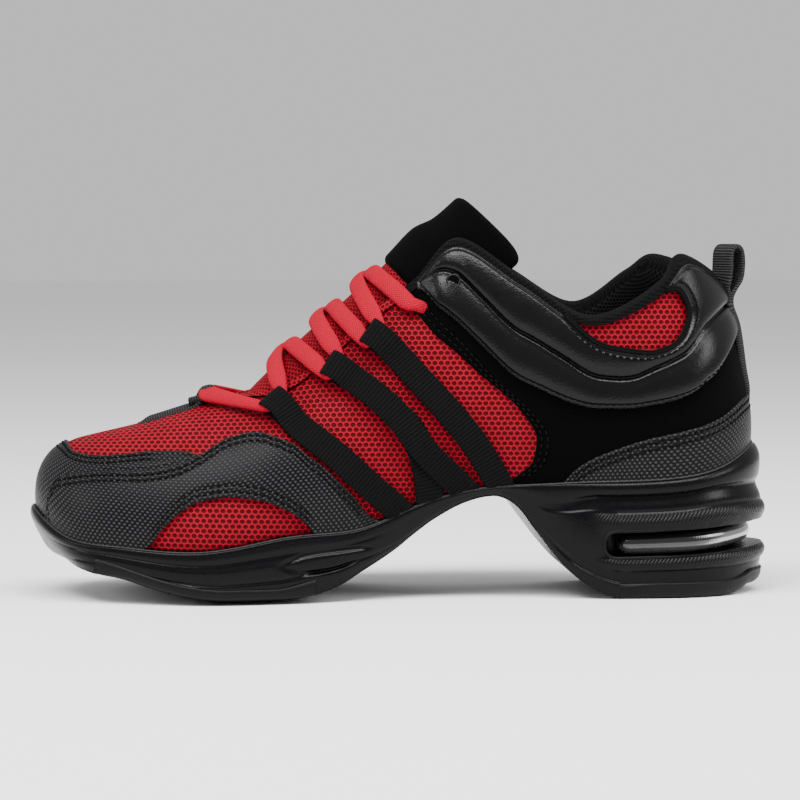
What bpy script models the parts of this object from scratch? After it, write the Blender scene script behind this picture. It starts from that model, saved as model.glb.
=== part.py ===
"""Split-sole dance shoe for the left foot, built from separate solids.

Toe at -X, heel at +X, outer side at -Y, inner side at +Y, +Z up.
The origin is on the floor under the middle of the shoe.
Tables and sizes are in millimetres.

The upper is one wall. A point on it is given by a row and a share: the row runs round the shoe, from
0 at the back of the heel along the outer side to 13 at the toe tip and on along the inner side to 26,
and the share runs up the section, from 0 at the sole to 1 at the collar, throat or vamp ridge.
"""
import math
from collections import namedtuple

import bmesh
import bpy
import numpy as np
from mathutils import Vector

MM = 0.001
GAP = 0.3

# Driving sizes of the last, and the sizes that the section table is drawn at
LAST_LENGTH = 252.0
BALL_WIDTH = 89.0
INSTEP_HEIGHT = 123.0
DRAWN_LENGTH = 252.0
DRAWN_WIDTH = 89.0
DRAWN_HEIGHT = 123.0
ALONG = LAST_LENGTH / DRAWN_LENGTH
ACROSS = BALL_WIDTH / DRAWN_WIDTH
UP = INSTEP_HEIGHT / DRAWN_HEIGHT

WALL = 2.0
UPPER_LINES = 8
LIFT = 0.8
OVERLAY = 1.0
FOOT_SHARE = 0.012
TOE_ROW = 13
ROWS = 2 * TOE_ROW
VAMP_ROW = 10
VAMP_SLOPE = 0.3

# foot: where the wall meets the sole, low and flare: length and outward tilt of the curve there,
# top: the upper edge, mid and half giving its middle and half width,
# high and lean: length and inward tilt of the curve there
Section = namedtuple(
    "Section",
    "name foot_x foot_lat foot_med foot_z low flare"
    " top_x top_x_med top_mid top_half top_z top_z_med high lean",
)
SECTIONS = [
    Section("heel_back", 124.0, 1.0, 1.0, 53.0, 20, 5, 112.5, 112.5, 0.5, 0.0, 110.5, 110.5, 15, 14),
    Section("heel_corner", 111.0, -23.5, 24.5, 45.5, 24, 7, 99.0, 95.0, 0.5, 22.0, 117.0, 118.0, 24, 9),
    Section("heel_side", 88.0, -31.0, 31.0, 41.3, 24, 9, 90.0, 84.0, 0.5, 28.0, 108.0, 110.5, 20, 10),
    Section("collar_dip", 64.0, -31.0, 30.0, 40.6, 20, 10, 65.0, 65.0, 0.5, 32.0, 94.0, 99.0, 18, 6),
    Section("collar_front", 46.0, -30.5, 29.0, 39.8, 24, 10, 40.5, 41.0, 0.5, 29.0, 109.5, 112.0, 22, 12),
    Section("top_eyelet", 30.0, -30.0, 28.5, 39.0, 30, 12, 18.5, 18.5, 0.5, 23.5, 123.0, 123.0, 28, 18),
    Section("throat_high", 14.0, -30.5, 28.5, 36.2, 28, 14, 4.5, 4.5, 0.5, 21.5, 110.5, 110.5, 26, 28),
    Section("throat_mid", -1.0, -32.0, 29.5, 31.0, 26, 15, -7.5, -7.5, 0.5, 20.5, 101.5, 101.5, 24, 36),
    Section("throat_low", -19.0, -35.5, 33.0, 24.6, 24, 14, -23.5, -23.5, 0.5, 19.5, 87.5, 87.5, 24, 46),
    Section("throat_base", -42.0, -41.0, 40.0, 22.8, 20, 12, -43.5, -43.5, 0.5, 18.0, 72.5, 72.5, 24, 58),
    Section("throat_front", -70.0, -44.5, 44.5, 18.2, 22, 8, -66.0, -66.0, 1.0, 0.0, 69.0, 69.0, 30, 88),
    Section("vamp", -98.0, -37.0, 40.0, 19.4, 22, 6, -90.0, -90.0, 2.0, 0.0, 60.8, 60.8, 26, 90),
    Section("toe_side", -117.5, -23.0, 27.0, 22.6, 18, 7, -106.0, -106.0, 3.0, 0.0, 57.0, 57.0, 18, 90),
    Section("toe_tip", -128.0, 4.0, 4.0, 31.0, 12, 6, -113.0, -113.0, 3.5, 0.0, 55.3, 55.3, 12, 90),
]

# Height of the sole's underside and of its footbed along the shoe
Profile = namedtuple("Profile", "x z")
UNDERSIDE = [
    Profile(-128, 13.6), Profile(-118, 12.4), Profile(-103, 9.1), Profile(-94, 6.2), Profile(-87, 4.0),
    Profile(-80, 2.2), Profile(-72, 0.7), Profile(-64, 0.0), Profile(-46, 0.0), Profile(-35, 2.2),
    Profile(-24, 5.8), Profile(-17, 9.8), Profile(-3.4, 18.0), Profile(3.4, 23.4), Profile(10.3, 28.3), Profile(20.7, 33.7),
    Profile(27.6, 35.6), Profile(31, 35.9), Profile(35, 34.8), Profile(39, 32.0), Profile(45, 24.2),
    Profile(52, 15.3), Profile(58, 8.8), Profile(64, 4.4), Profile(70, 1.4), Profile(76, 0.0),
    Profile(111, 0.0), Profile(117, 1.4), Profile(124, 4.0),
]
FOOTBED = [
    Profile(-128, 21.0), Profile(-115, 18.5), Profile(-98, 16.0), Profile(-70, 14.5), Profile(-42, 18.0),
    Profile(-19, 22.0), Profile(-1, 28.0), Profile(14, 33.5), Profile(30, 38.0), Profile(46, 38.2),
    Profile(64, 37.5), Profile(90, 37.0), Profile(124, 37.5),
]

# Rings of the sole's side: share of its height below the top, and offset from the foot of the wall
Ring = namedtuple("Ring", "name back back_out heel heel_out arch arch_out fore fore_out toe toe_out")
RINGS = [
    Ring("lip", 0.00, 2.4, 0.00, 2.2, 0.00, 2.0, 0.00, 2.1, 0.00, 2.4),
    Ring("cup", 0.12, 5.0, 0.05, 3.3, 0.14, 2.4, 0.08, 2.8, 0.15, 3.0),
    Ring("cup_low", 0.24, 4.8, 0.10, 3.3, 0.25, 2.3, 0.16, 2.9, 0.25, 2.6),
    Ring("groove", 0.28, 3.0, 0.135, 2.2, 0.34, 2.0, 0.24, 2.5, 0.33, 2.0),
    Ring("band_low", 0.385, 3.6, 0.24, 2.6, 0.42, 1.8, 0.30, 2.8, 0.41, 1.4),
    Ring("rib_high_top", 0.41, 6.8, 0.265, 4.2, 0.49, 1.7, 0.36, 2.9, 0.48, 0.8),
    Ring("rib_high_low", 0.53, 7.0, 0.35, 4.4, 0.56, 1.5, 0.42, 3.0, 0.55, 0.2),
    Ring("rib_low_top", 0.715, 7.0, 0.66, 4.4, 0.74, 0.9, 0.55, 2.9, 0.76, -1.8),
    Ring("rib_low_low", 0.82, 6.8, 0.77, 4.2, 0.80, 0.6, 0.58, 2.8, 0.83, -2.6),
    Ring("crease", 0.88, 5.2, 0.85, 3.0, 0.86, 0.2, 0.62, 2.4, 0.89, -3.6),
    Ring("foot", 0.91, 5.6, 0.88, 3.6, 0.92, -0.2, 0.68, 2.8, 0.94, -4.6),
    Ring("tread", 1.00, 3.0, 1.00, 2.4, 1.00, -1.0, 1.00, 1.4, 1.00, -6.5),
]
RING_ROWS = {"back": (0.0,), "heel": (1.3, 2.8), "arch": (4.2, 6.8), "fore": (8.4, 11.4), "toe": (12.6, 13.0)}
CREASE = [ring.name for ring in RINGS].index("crease")

# Tread pads: rows that they cover on each side, share of the thickness at their edge, and how far in from
# the edge they are flat
Pad = namedtuple("Pad", "name first last edge flat")
PADS = [Pad("outsole_heel", 0.0, 2.5, 0.8, 0.0), Pad("outsole_forefoot", 8 + 2 / 3, 11 + 1 / 3, 0.5, 18.0)]
PAD_THICK = 5.5
PAD_SEAT = 0.6
SEAT_STEP = 3.0
RING_APART = 0.2
BED_DROP = 0.6
PAD_END = 0.03
PAD_STEP = 0.02
EVEN_ROWS = (2, 3, 4, 5, 6, 7)
ROW_APART = 0.06

INSOLE_INSET = 4.0
INSOLE_THICK = 3.0
BED_INSET = 3.3
LEDGE_INSET = 2.7
LEDGE_OUT = 1.9

# Tongue: a station is a point on its ridge, the section there is part of an ellipse square to the ridge
Station = namedtuple("Station", "name x z slope half depth sweep thick")
TONGUE = [
    Station("under_vamp", -74.0, 58.0, 26, 18.0, 20.0, 64, 3.0),
    Station("throat_front", -62.0, 63.6, 34, 20.5, 24.0, 64, 3.2),
    Station("low", -50.0, 75.2, 42, 22.0, 29.0, 66, 3.5),
    Station("mid", -35.0, 90.0, 42, 22.5, 31.0, 68, 4.0),
    Station("high", -19.0, 104.0, 42, 22.5, 31.0, 70, 4.0),
    Station("seam", -5.0, 116.5, 42, 22.5, 31.0, 72, 4.5),
    Station("lip", 8.0, 129.0, 42, 23.0, 34.0, 79, 5.0),
    Station("edge", 18.5, 139.0, 44, 22.5, 34.0, 80, 4.5),
]
TONGUE_SEAM = 5


# Panels on the upper: lower and upper share at each row of one side
Edge = namedtuple("Edge", "row low high")
HEEL_COUNTER = [
    Edge(0.0, 0.0, 0.28), Edge(0.5, 0.0, 0.27), Edge(1.0, 0.0, 0.24), Edge(1.6, 0.0, 0.23),
    Edge(2.3, 0.0, 0.21), Edge(2.85, 0.0, 0.165), Edge(3.25, 0.0, 0.085), Edge(3.5, 0.0, 0.015),
]
COLLAR_PANEL = [
    Edge(0.22, 0.60, 0.98), Edge(1.05, 0.43, 0.98), Edge(1.12, 0.425, 0.92), Edge(1.2, 0.42, 0.80),
    Edge(1.35, 0.40, 0.71), Edge(1.65, 0.385, 0.65), Edge(2.0, 0.38, 0.645), Edge(2.3, 0.39, 0.69),
    Edge(2.9, 0.455, 0.87), Edge(3.3, 0.475, 0.96), Edge(3.6, 0.48, 0.98), Edge(4.2, 0.495, 0.98),
    Edge(4.85, 0.59, 0.98), Edge(5.5, 0.77, 0.98), Edge(6.0, 0.95, 0.98),
]
SIDE_BAND = [
    Edge(7.6, 0.0, 0.03), Edge(8.1, 0.0, 0.19), Edge(8.6, 0.0, 0.39), Edge(8.7, 0.05, 0.43),
    Edge(8.97, 0.15, 0.56), Edge(9.4, 0.245, 0.65), Edge(9.75, 0.27, 0.60), Edge(10.05, 0.26, 0.51),
    Edge(10.3, 0.20, 0.46), Edge(10.5, 0.11, 0.445), Edge(10.65, 0.02, 0.44), Edge(10.75, 0.0, 0.44),
    Edge(11.6, 0.0, 0.46), Edge(12.1, 0.0, 0.42), Edge(12.3, 0.0, 0.25), Edge(12.42, 0.0, 0.04),
]
TOE_CAP = [
    Edge(10.05, 0.525, 0.54), Edge(10.3, 0.475, 0.56), Edge(10.75, 0.455, 0.58), Edge(11.2, 0.465, 0.59),
    Edge(11.6, 0.475, 0.605), Edge(12.12, 0.435, 0.68), Edge(12.34, 0.26, 0.71), Edge(12.47, 0.05, 0.73),
    Edge(12.52, 0.0, 0.74), Edge(13.0, 0.0, 0.79),
]
# The suede quarter in two strips that share an edge behind its front notch
QUARTER_LOW = [
    Edge(0.22, 0.295, 0.42), Edge(1.0, 0.256, 0.33), Edge(1.6, 0.245, 0.31), Edge(2.3, 0.224, 0.29),
    Edge(2.87, 0.178, 0.26), Edge(3.3, 0.10, 0.24), Edge(3.62, 0.0, 0.23), Edge(4.0, 0.0, 0.22),
    Edge(4.12, 0.0, 0.10), Edge(4.42, 0.0, 0.03),
]
QUARTER_HIGH = [
    Edge(0.22, 0.42, 0.585), Edge(1.0, 0.33, 0.42), Edge(1.6, 0.31, 0.37), Edge(2.3, 0.29, 0.375),
    Edge(2.87, 0.26, 0.437), Edge(3.3, 0.24, 0.46), Edge(3.62, 0.23, 0.465), Edge(4.0, 0.22, 0.47),
    Edge(4.28, 0.35, 0.485), Edge(4.9, 0.45, 0.58), Edge(5.6, 0.645, 0.785), Edge(6.1, 0.83, 0.94),
    Edge(6.5, 0.955, 0.97),
]

# Webbing straps from the sole to a lace loop at the throat, marked from the top down
Mark = namedtuple("Mark", "row share")
Strap = namedtuple("Strap", "name over marks")
STRAPS = [
    Strap("strap_1", 0.0, [
        Mark(9.15, 0.965), Mark(8.83, 0.70), Mark(8.36, 0.44), Mark(7.72, 0.20), Mark(7.1, 0.012),
    ]),
    Strap("strap_2", 1.8, [
        Mark(8.1, 0.965), Mark(7.73, 0.73), Mark(7.1, 0.46), Mark(6.45, 0.22), Mark(5.62, 0.012),
    ]),
    Strap("strap_3", 0.0, [
        Mark(7.3, 0.965), Mark(6.75, 0.71), Mark(6.0, 0.43), Mark(5.4, 0.21), Mark(4.85, 0.012),
    ]),
]
# Second leg of the middle strap, which comes out from under it near the sole
STRAP_LEG = Strap("strap_2_leg", 0.0, [
    Mark(7.1, 0.46), Mark(6.72, 0.33), Mark(6.52, 0.18), Mark(6.42, 0.012),
])
ROW_PITCH = 18.0
SHARE_PITCH = 80.0
STRAP_WIDTH = 8.2
STRAP_THICK = 1.2
STRAP_LIFT = 1.05
STRAP_STEPS = 12
OVER_FROM = 0.02
OVER_SPAN = 0.06
LOOP_RADIUS = 2.0
LOOP_BACK = 9.0
LOOP_AHEAD = 1.5
LACE_BACK = 2.7

LACE_WIDTH = 5.2
LACE_THICK = 1.6
LACE_LIFT = 2.0
LACE_REACH = 7.0
LACE_SLANT = 0.12
LACE_CROSSINGS = [2.47, 3.57, 4.45]
# Height of the lace over the tongue across a crossing, as shares of its height at the middle
Hump = namedtuple("Hump", "across share")
HUMPS = [Hump(0.62, 0.0), Hump(0.32, 0.6), Hump(0.0, 1.0), Hump(-0.32, 0.6), Hump(-0.62, 0.0)]
LACE_ENDS = [Mark(6.62, 0.985), Mark(6.4, 0.95), Mark(6.05, 0.88)]

STRIP_WIDTH = 11.0
STRIP_THICK = 1.6
VAMP_STRIP_ROWS = (11.15, 10.15)
VAMP_STRIP_WIDTH = 9.0
VAMP_STRIP_LIFT = 0.9
# Pull loop over the heel, on the middle plane, up from the back strip and down on the collar
PULL_LOOP = [
    Profile(118.4, 103.0), Profile(119.2, 108.0), Profile(120.6, 113.0), Profile(121.3, 117.5),
    Profile(120.7, 121.2), Profile(118.4, 123.0), Profile(115.6, 123.0), Profile(113.5, 121.4),
    Profile(112.8, 118.5), Profile(112.8, 115.8),
]
BACK_STRIP = (0.26, 0.88)

BINDING_ROW = 6
BINDING_RADIUS = 1.5
BINDING_LIFT = 2.7
BINDING_UNDER = 0.97
EYELET = Mark(5.18, 0.86)
EYELET_RADIUS = 2.9
EYELET_WIRE = 0.6
EYELET_HOLE = 2.0

# Heel window, let into the side round the back of the heel, with the clear tube that lies in it
WINDOW_ROW = 2.78
WINDOW_HALF = 4.4
WINDOW_DEEP = 11.0
WINDOW_OUT = 12.0
WINDOW_ROW_LENGTH = 24.0
WINDOW_END = (0.06, 0.4, 1.1, 2.2, 3.6)
WINDOW_RUN = np.linspace(2.5, 0, 14)
WINDOW_SIDE_Z = 19.6
WINDOW_BACK_Z = 21.8
TUBE_RADIUS = 3.3
TUBE_INSET = 3.0
TUBE_ROW = 2.55

GROOVE_WIDTH = 3.0
GROOVE_DEEP = 1.8
GROOVES = {"outsole_forefoot": (-92.0, -78.0, -64.0, -50.0, -36.0), "outsole_heel": (82.0, 92.0, 102.0)}


def monotone(knots, values):
    """Curve through values at knots that never overshoots between them."""
    knots = np.asarray(knots, float)
    values = np.asarray(values, float)
    steps = np.diff(knots)
    rises = np.diff(values) / steps
    slopes = np.zeros(len(knots))
    for i in range(1, len(knots) - 1):
        before, after = rises[i - 1], rises[i]
        if before * after > 0:
            near = 2 * steps[i] + steps[i - 1]
            far = steps[i] + 2 * steps[i - 1]
            slopes[i] = (near + far) / (near / before + far / after)

    def value(at):
        at = np.clip(np.asarray(at, float), knots[0], knots[-1])
        i = np.clip(np.searchsorted(knots, at, side="right") - 1, 0, len(steps) - 1)
        t = (at - knots[i]) / steps[i]
        return (
            (1 + 2 * t) * (1 - t) ** 2 * values[i]
            + t * (1 - t) ** 2 * steps[i] * slopes[i]
            + t * t * (3 - 2 * t) * values[i + 1]
            - t * t * (1 - t) * steps[i] * slopes[i + 1]
        )

    return value


def around(lateral, medial):
    """Monotone curve round the whole shoe from the columns of its two sides."""
    loop = list(lateral) + list(medial)[TOE_ROW - 1:0:-1]
    spare = 3
    knots = np.arange(-spare, ROWS + spare + 1)
    curve = monotone(knots, [loop[k % ROWS] for k in knots])
    return lambda row: curve(np.mod(row, ROWS))


def smooth_around(points):
    """Cubic curve of even curvature round the whole shoe, with its slope."""
    points = np.asarray(points, float)
    count = len(points)
    system = 4 * np.eye(count) + np.roll(np.eye(count), 1, 0) + np.roll(np.eye(count), -1, 0)
    slopes = np.linalg.solve(system, 3 * (np.roll(points, -1, 0) - np.roll(points, 1, 0)))

    def value(row):
        row = np.mod(np.asarray(row, float), count)
        i = np.floor(row).astype(int) % count
        j = (i + 1) % count
        t = (row - np.floor(row))[..., None]
        place = (
            (1 + 2 * t) * (1 - t) ** 2 * points[i] + t * (1 - t) ** 2 * slopes[i]
            + t * t * (3 - 2 * t) * points[j] - t * t * (1 - t) * slopes[j]
        )
        slope = (
            6 * t * (t - 1) * (points[i] - points[j])
            + (3 * t * t - 4 * t + 1) * slopes[i] + (3 * t * t - 2 * t) * slopes[j]
        )
        return place, slope

    return value


def both(column):
    values = [getattr(section, column) for section in SECTIONS]
    return around(values, values)


def loop_points():
    lateral = [(s.foot_x * ALONG, s.foot_lat * ACROSS, s.foot_z * UP) for s in SECTIONS]
    medial = [(s.foot_x * ALONG, s.foot_med * ACROSS, s.foot_z * UP) for s in SECTIONS]
    return lateral + medial[TOE_ROW - 1:0:-1]


FOOT = smooth_around(loop_points())
LOW, FLARE, HIGH, LEAN = [both(name) for name in ("low", "flare", "high", "lean")]
TOP_X = around([s.top_x for s in SECTIONS], [s.top_x_med for s in SECTIONS])
TOP_MID = both("top_mid")
TOP_Y = around([s.top_mid - s.top_half for s in SECTIONS], [s.top_mid + s.top_half for s in SECTIONS])
TOP_Z = around([s.top_z for s in SECTIONS], [s.top_z_med for s in SECTIONS])
UNDER_Z = monotone([p.x for p in UNDERSIDE], [p.z for p in UNDERSIDE])
BED_Z = monotone([p.x for p in FOOTBED], [p.z for p in FOOTBED])


def side_row(row):
    """Row counted from the heel on either side."""
    row = np.mod(row, ROWS)
    return np.minimum(row, ROWS - row)


def inward(row):
    """Level direction into the shoe, square to the foot of the wall."""
    slope = FOOT(row)[1]
    level = np.stack([slope[..., 1], -slope[..., 0], np.zeros_like(slope[..., 0])], -1)
    return level / np.linalg.norm(level, axis=-1, keepdims=True)


def top_edge(row):
    across = np.where(side_row(row) >= VAMP_ROW, TOP_MID(row), TOP_Y(row))
    return np.stack([TOP_X(row) * ALONG, across * ACROSS, TOP_Z(row) * UP], -1)


def wall(row, share):
    """Point on the outside of the upper."""
    row, share = np.broadcast_arrays(np.asarray(row, float), np.asarray(share, float))
    foot = FOOT(row)[0]
    top = top_edge(row)
    level = inward(row)
    up = np.array([0.0, 0.0, 1.0])
    flare = np.radians(FLARE(row))[..., None]
    lean = np.radians(LEAN(row))[..., None]
    low = foot + LOW(row)[..., None] * (up * np.cos(flare) - level * np.sin(flare))
    over = level + up * VAMP_SLOPE * level[..., :1]
    high = top - HIGH(row)[..., None] * (up * np.cos(lean) + over * np.sin(lean))
    t = share[..., None]
    return (1 - t) ** 3 * foot + 3 * t * (1 - t) ** 2 * low + 3 * t * t * (1 - t) * high + t ** 3 * top


def facing(row, share):
    """Outward direction of the wall."""
    step = 0.01
    share = np.clip(share, step, 1 - step)
    along = wall(row + step, share) - wall(row - step, share)
    rise = wall(row, share + step) - wall(row, share - step)
    out = np.cross(rise, along)
    return out / np.linalg.norm(out, axis=-1, keepdims=True)


def skin(row, share, lift):
    return wall(row, share) + facing(row, share) * lift


def collection(name):
    group = bpy.data.collections.new(name)
    bpy.context.scene.collection.children.link(group)
    return group


def finish(name, colour, roughness, metallic=0.0):
    material = bpy.data.materials.new(name)
    material.use_nodes = True
    shader = material.node_tree.nodes["Principled BSDF"]
    shader.inputs["Base Color"].default_value = (*colour, 1.0)
    shader.inputs["Roughness"].default_value = roughness
    shader.inputs["Metallic"].default_value = metallic
    material.diffuse_color = (*colour, 1.0)
    return material


def add(name, points, faces, material, group, parent):
    """Object from points in millimetres."""
    mesh = bpy.data.meshes.new(name)
    mesh.from_pydata([tuple(float(c) * MM for c in point) for point in points], [], faces)
    mesh.update()
    thing = bpy.data.objects.new(name, mesh)
    mesh.materials.append(material)
    mesh.shade_smooth()
    group.objects.link(thing)
    thing.parent = parent
    return thing


def merge(thing, distance=0.005):
    shape = bmesh.new()
    shape.from_mesh(thing.data)
    bmesh.ops.remove_doubles(shape, verts=shape.verts, dist=distance * MM)
    shape.to_mesh(thing.data)
    shape.free()


def solidify(thing, thickness, side):
    """Give an open surface its thickness: side is 1 outward or -1 inward."""
    shell = thing.modifiers.new("Thickness", "SOLIDIFY")
    shell.thickness = thickness * MM
    shell.offset = side
    shell.use_even_offset = True
    shell.use_quality_normals = True


def grid_faces(columns, lines, closed=False):
    """Faces of a grid whose points run up each column in turn, outside on the left of the way round."""
    faces = []
    for i in range(columns if closed else columns - 1):
        a = i * lines
        b = ((i + 1) % columns) * lines
        for j in range(lines - 1):
            faces.append((a + j, a + j + 1, b + j + 1, b + j))
    return faces


def columns_of(first, last):
    """Rows between two rows of one side, closer together where the shoe curves most."""
    rows = []
    for row in range(TOE_ROW):
        parts = 2 if row in EVEN_ROWS else 3
        rows += [row + k / parts for k in range(parts)]
    rows.append(float(TOE_ROW))
    return np.array([row for row in rows if first - 0.001 <= row <= last + 0.001])


def loop_columns():
    side = columns_of(0, TOE_ROW)
    return np.concatenate([side, ROWS - side[-2:0:-1]])


def build_upper(make):
    rows = loop_columns()
    shares = np.linspace(0, 1, UPPER_LINES)
    points = wall(rows[:, None], shares[None, :]).reshape(-1, 3)
    upper = make("upper", points, grid_faces(len(rows), len(shares), closed=True))
    merge(upper)
    solidify(upper, WALL, -1)
    return upper


def ring_values(kind):
    """Curve round the shoe for each ring of the sole's side: its share or its offset."""
    curves = []
    for ring in RINGS:
        knots, values = [], []
        for station, rows in RING_ROWS.items():
            for row in rows:
                knots.append(row)
                values.append(getattr(ring, station + kind))
        curves.append(monotone(knots, values))
    return curves


RING_SHARE = ring_values("")
RING_OUT = ring_values("_out")


def padded(row):
    """True where a tread pad is let into the sole."""
    row = side_row(row)
    return any(pad.first - PAD_END - 0.001 <= row <= pad.last + PAD_END + 0.001 for pad in PADS)


def sole_column(row):
    """Points down one column of the sole, from its footbed over the ledge and down the side."""
    foot = FOOT(row)[0]
    level = inward(row)
    near = side_row(row)
    top = foot[2] - GAP
    under = float(UNDER_Z(foot[0]))
    bed = min(float(BED_Z(foot[0])), top - BED_DROP)

    into = level if near < TOE_ROW / 2 else np.array([0.0, np.sign(level[1]), 0.0])

    def place(offset, height):
        spot = foot - level * offset
        return (spot[0], spot[1], height)

    points = [place(-BED_INSET, bed), place(-LEDGE_INSET, top), place(LEDGE_OUT, top)]
    for k in range(len(RINGS)):
        offset = float(RING_OUT[k](near))
        height = top - float(RING_SHARE[k](near)) * (top - under)
        if padded(row):
            beyond = max(0, k - CREASE)
            spot = foot - level * float(RING_OUT[min(k, CREASE)](near)) + into * SEAT_STEP * beyond
            seat = float(UNDER_Z(spot[0])) + PAD_THICK + PAD_SEAT
            if k < CREASE:
                seat = max(height, seat + RING_APART * (CREASE - k))
            points.append((spot[0], spot[1], seat))
        else:
            points.append(place(offset, height))
    return points


def sole_rows():
    """Columns of one side, with close pairs where the tread pads end."""
    rows = set(columns_of(0, TOE_ROW))
    for pad in PADS:
        for end, way in ((pad.first, -1), (pad.last, 1)):
            if end > 0:
                rows.add(end + way * PAD_END)
                rows.add(end + way * (PAD_END + PAD_STEP))
    return sorted(rows)


def close_across(columns, lines, line, upward):
    """Faces that join the two sides across the shoe at one line of the columns."""
    faces = []
    half = columns // 2
    for i in range(half):
        a, b = i, i + 1
        c, d = (columns - i - 1) % columns, (columns - i) % columns
        loop = [a, b, c, d]
        if upward:
            loop = loop[::-1]
        corners = []
        for k in loop:
            if k * lines + line not in corners:
                corners.append(k * lines + line)
        faces.append(tuple(corners))
    return faces


def build_sole(make):
    side = sole_rows()
    rows = side + [ROWS - row for row in side[-2:0:-1]]
    columns = [sole_column(row) for row in rows]
    lines = len(columns[0])
    points = [point for column in columns for point in column]
    faces = [face[::-1] for face in grid_faces(len(rows), lines, closed=True)]
    faces += close_across(len(rows), lines, 0, upward=True)
    faces += close_across(len(rows), lines, lines - 1, upward=False)
    return make("sole", points, faces)


def loft(make, name, sections, start=True, end=True):
    """Solid through loops of points, each paired first with last where an end is closed."""
    count = len(sections[0])
    points = [point for section in sections for point in section]
    faces = []
    for i in range(len(sections) - 1):
        for j in range(count):
            k = (j + 1) % count
            faces.append((i * count + j, i * count + k, (i + 1) * count + k, (i + 1) * count + j))
    ends = [0] if start else []
    if end:
        ends.append((len(sections) - 1) * count)
    for base in ends:
        for j in range(count // 2 - 1):
            faces.append((base + j, base + j + 1, base + count - 2 - j, base + count - 1 - j))
    solid = make(name, points, faces)
    merge(solid)
    shape = bmesh.new()
    shape.from_mesh(solid.data)
    bmesh.ops.recalc_face_normals(shape, faces=shape.faces)
    shape.to_mesh(solid.data)
    shape.free()
    return solid


def build_pad(make, pad):
    """Tread pad, let into the sole and flush with its side."""
    lines = ((1.0, CREASE, 0.0), (pad.edge, CREASE + 1, 0.0), (0.0, CREASE + 2, pad.flat))
    sections = []
    for near in columns_of(pad.first, pad.last):
        sides = []
        for row in (near, ROWS - near):
            foot = FOOT(row)[0]
            side = []
            for height, ring, inset in lines:
                spot = foot - inward(row) * float(RING_OUT[ring](near))
                across = spot[1] - np.sign(spot[1]) * inset
                side.append((spot[0], across, float(UNDER_Z(spot[0])) + PAD_THICK * height))
            sides.append(side)
        sections.append(sides[0] + sides[1][::-1])
    return loft(make, pad.name, sections, start=pad.first > 0)


def build_insole(make):
    rows = loop_columns()
    points = []
    for row in rows:
        foot = FOOT(row)[0]
        spot = foot + inward(row) * INSOLE_INSET
        under = sole_column(row)[0][2] + GAP
        points.append((spot[0], spot[1], under + INSOLE_THICK))
        points.append((spot[0], spot[1], under))
    faces = [face[::-1] for face in grid_faces(len(rows), 2, closed=True)]
    faces += close_across(len(rows), 2, 0, upward=True)
    faces += close_across(len(rows), 2, 1, upward=False)
    return make("insole", points, faces)


def tongue_curve(name):
    return monotone(range(len(TONGUE)), [getattr(station, name) for station in TONGUE])


TONGUE_CURVES = {name: tongue_curve(name) for name in Station._fields[1:]}


def tongue_point(station, across, depth_in):
    """Point of the tongue at a station number, across from -1 to 1, some way in from its outside."""
    x, z, slope, half, depth, sweep = [
        float(TONGUE_CURVES[name](station)) for name in ("x", "z", "slope", "half", "depth", "sweep")
    ]
    angle = math.radians(sweep) * across
    slope = math.radians(slope)
    side = (half - depth_in) * math.sin(angle)
    drop = depth_in + (depth - depth_in) * (1 - math.cos(angle))
    return np.array([x + drop * math.sin(slope), 0.5 + side, z - drop * math.cos(slope)])


def build_tongue(make, name, first, last, steps):
    """Length of the tongue between two stations."""
    across = np.linspace(-1, 1, 11)
    sections = []
    for station in np.linspace(first, last, steps + 1):
        thick = float(TONGUE_CURVES["thick"](station))
        outside = [tongue_point(station, a, 0.0) for a in across]
        inside = [tongue_point(station, a, thick) for a in across[::-1]]
        sections.append(outside + inside)
    return loft(make, name, sections)


def edge_curves(edges):
    rows = [edge.row for edge in edges]
    return monotone(rows, [edge.low for edge in edges]), monotone(rows, [edge.high for edge in edges])


def panel_rows(edges):
    """Rows of the upper's own columns, with those of the table that lie clear of them."""
    rows = [edges[0].row, edges[-1].row]
    for row in [*columns_of(edges[0].row, edges[-1].row), *[edge.row for edge in edges]]:
        if min(abs(row - other) for other in rows) > ROW_APART:
            rows.append(float(row))
    return sorted(rows)


def panel_points(rows, low, high, lines):
    """Points just off the upper between two shares, at rows that run on round the shoe."""
    rows = np.asarray(rows)
    near = side_row(rows)
    start = np.maximum(low(near), FOOT_SHARE)[:, None]
    shares = start + (high(near)[:, None] - start) * np.linspace(0, 1, lines)[None, :]
    return skin(rows[:, None] + 0 * shares, shares, LIFT).reshape(-1, 3)


def build_panel(make, name, rows, low, high, lines):
    """Overlay cut from the upper's own surface."""
    panel = make(name, panel_points(rows, low, high, lines), grid_faces(len(rows), lines))
    solidify(panel, OVERLAY, 1)
    return panel


def side_rows(rows, side):
    """The same rows on the outer side, or in turn on the inner side."""
    return list(rows) if side == "lateral" else [ROWS - row for row in rows[::-1]]


def along_marks(marks, parts):
    """Points at even parts of a line through marks on the wall."""
    spots = np.array([(mark.row * ROW_PITCH, mark.share * SHARE_PITCH) for mark in marks])
    length = np.concatenate([[0], np.cumsum(np.linalg.norm(np.diff(spots, axis=0), axis=1))])
    at = np.asarray(parts) * length[-1]
    rows = monotone(length, [mark.row for mark in marks])(at)
    return np.stack([rows, monotone(length, [mark.share for mark in marks])(at)], -1)


def build_quarter(make, side):
    """Suede quarter, its two strips welded along the edge that they share."""
    points, faces = [], []
    for edges, lines in ((QUARTER_LOW, 3), (QUARTER_HIGH, 4)):
        low, high = edge_curves(edges)
        rows = side_rows(panel_rows(edges), side)
        base = len(points)
        points += list(panel_points(rows, low, high, lines))
        faces += [tuple(base + corner for corner in face) for face in grid_faces(len(rows), lines)]
    quarter = make("quarter_" + side, points, faces)
    merge(quarter)
    solidify(quarter, OVERLAY, 1)
    return quarter


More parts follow.
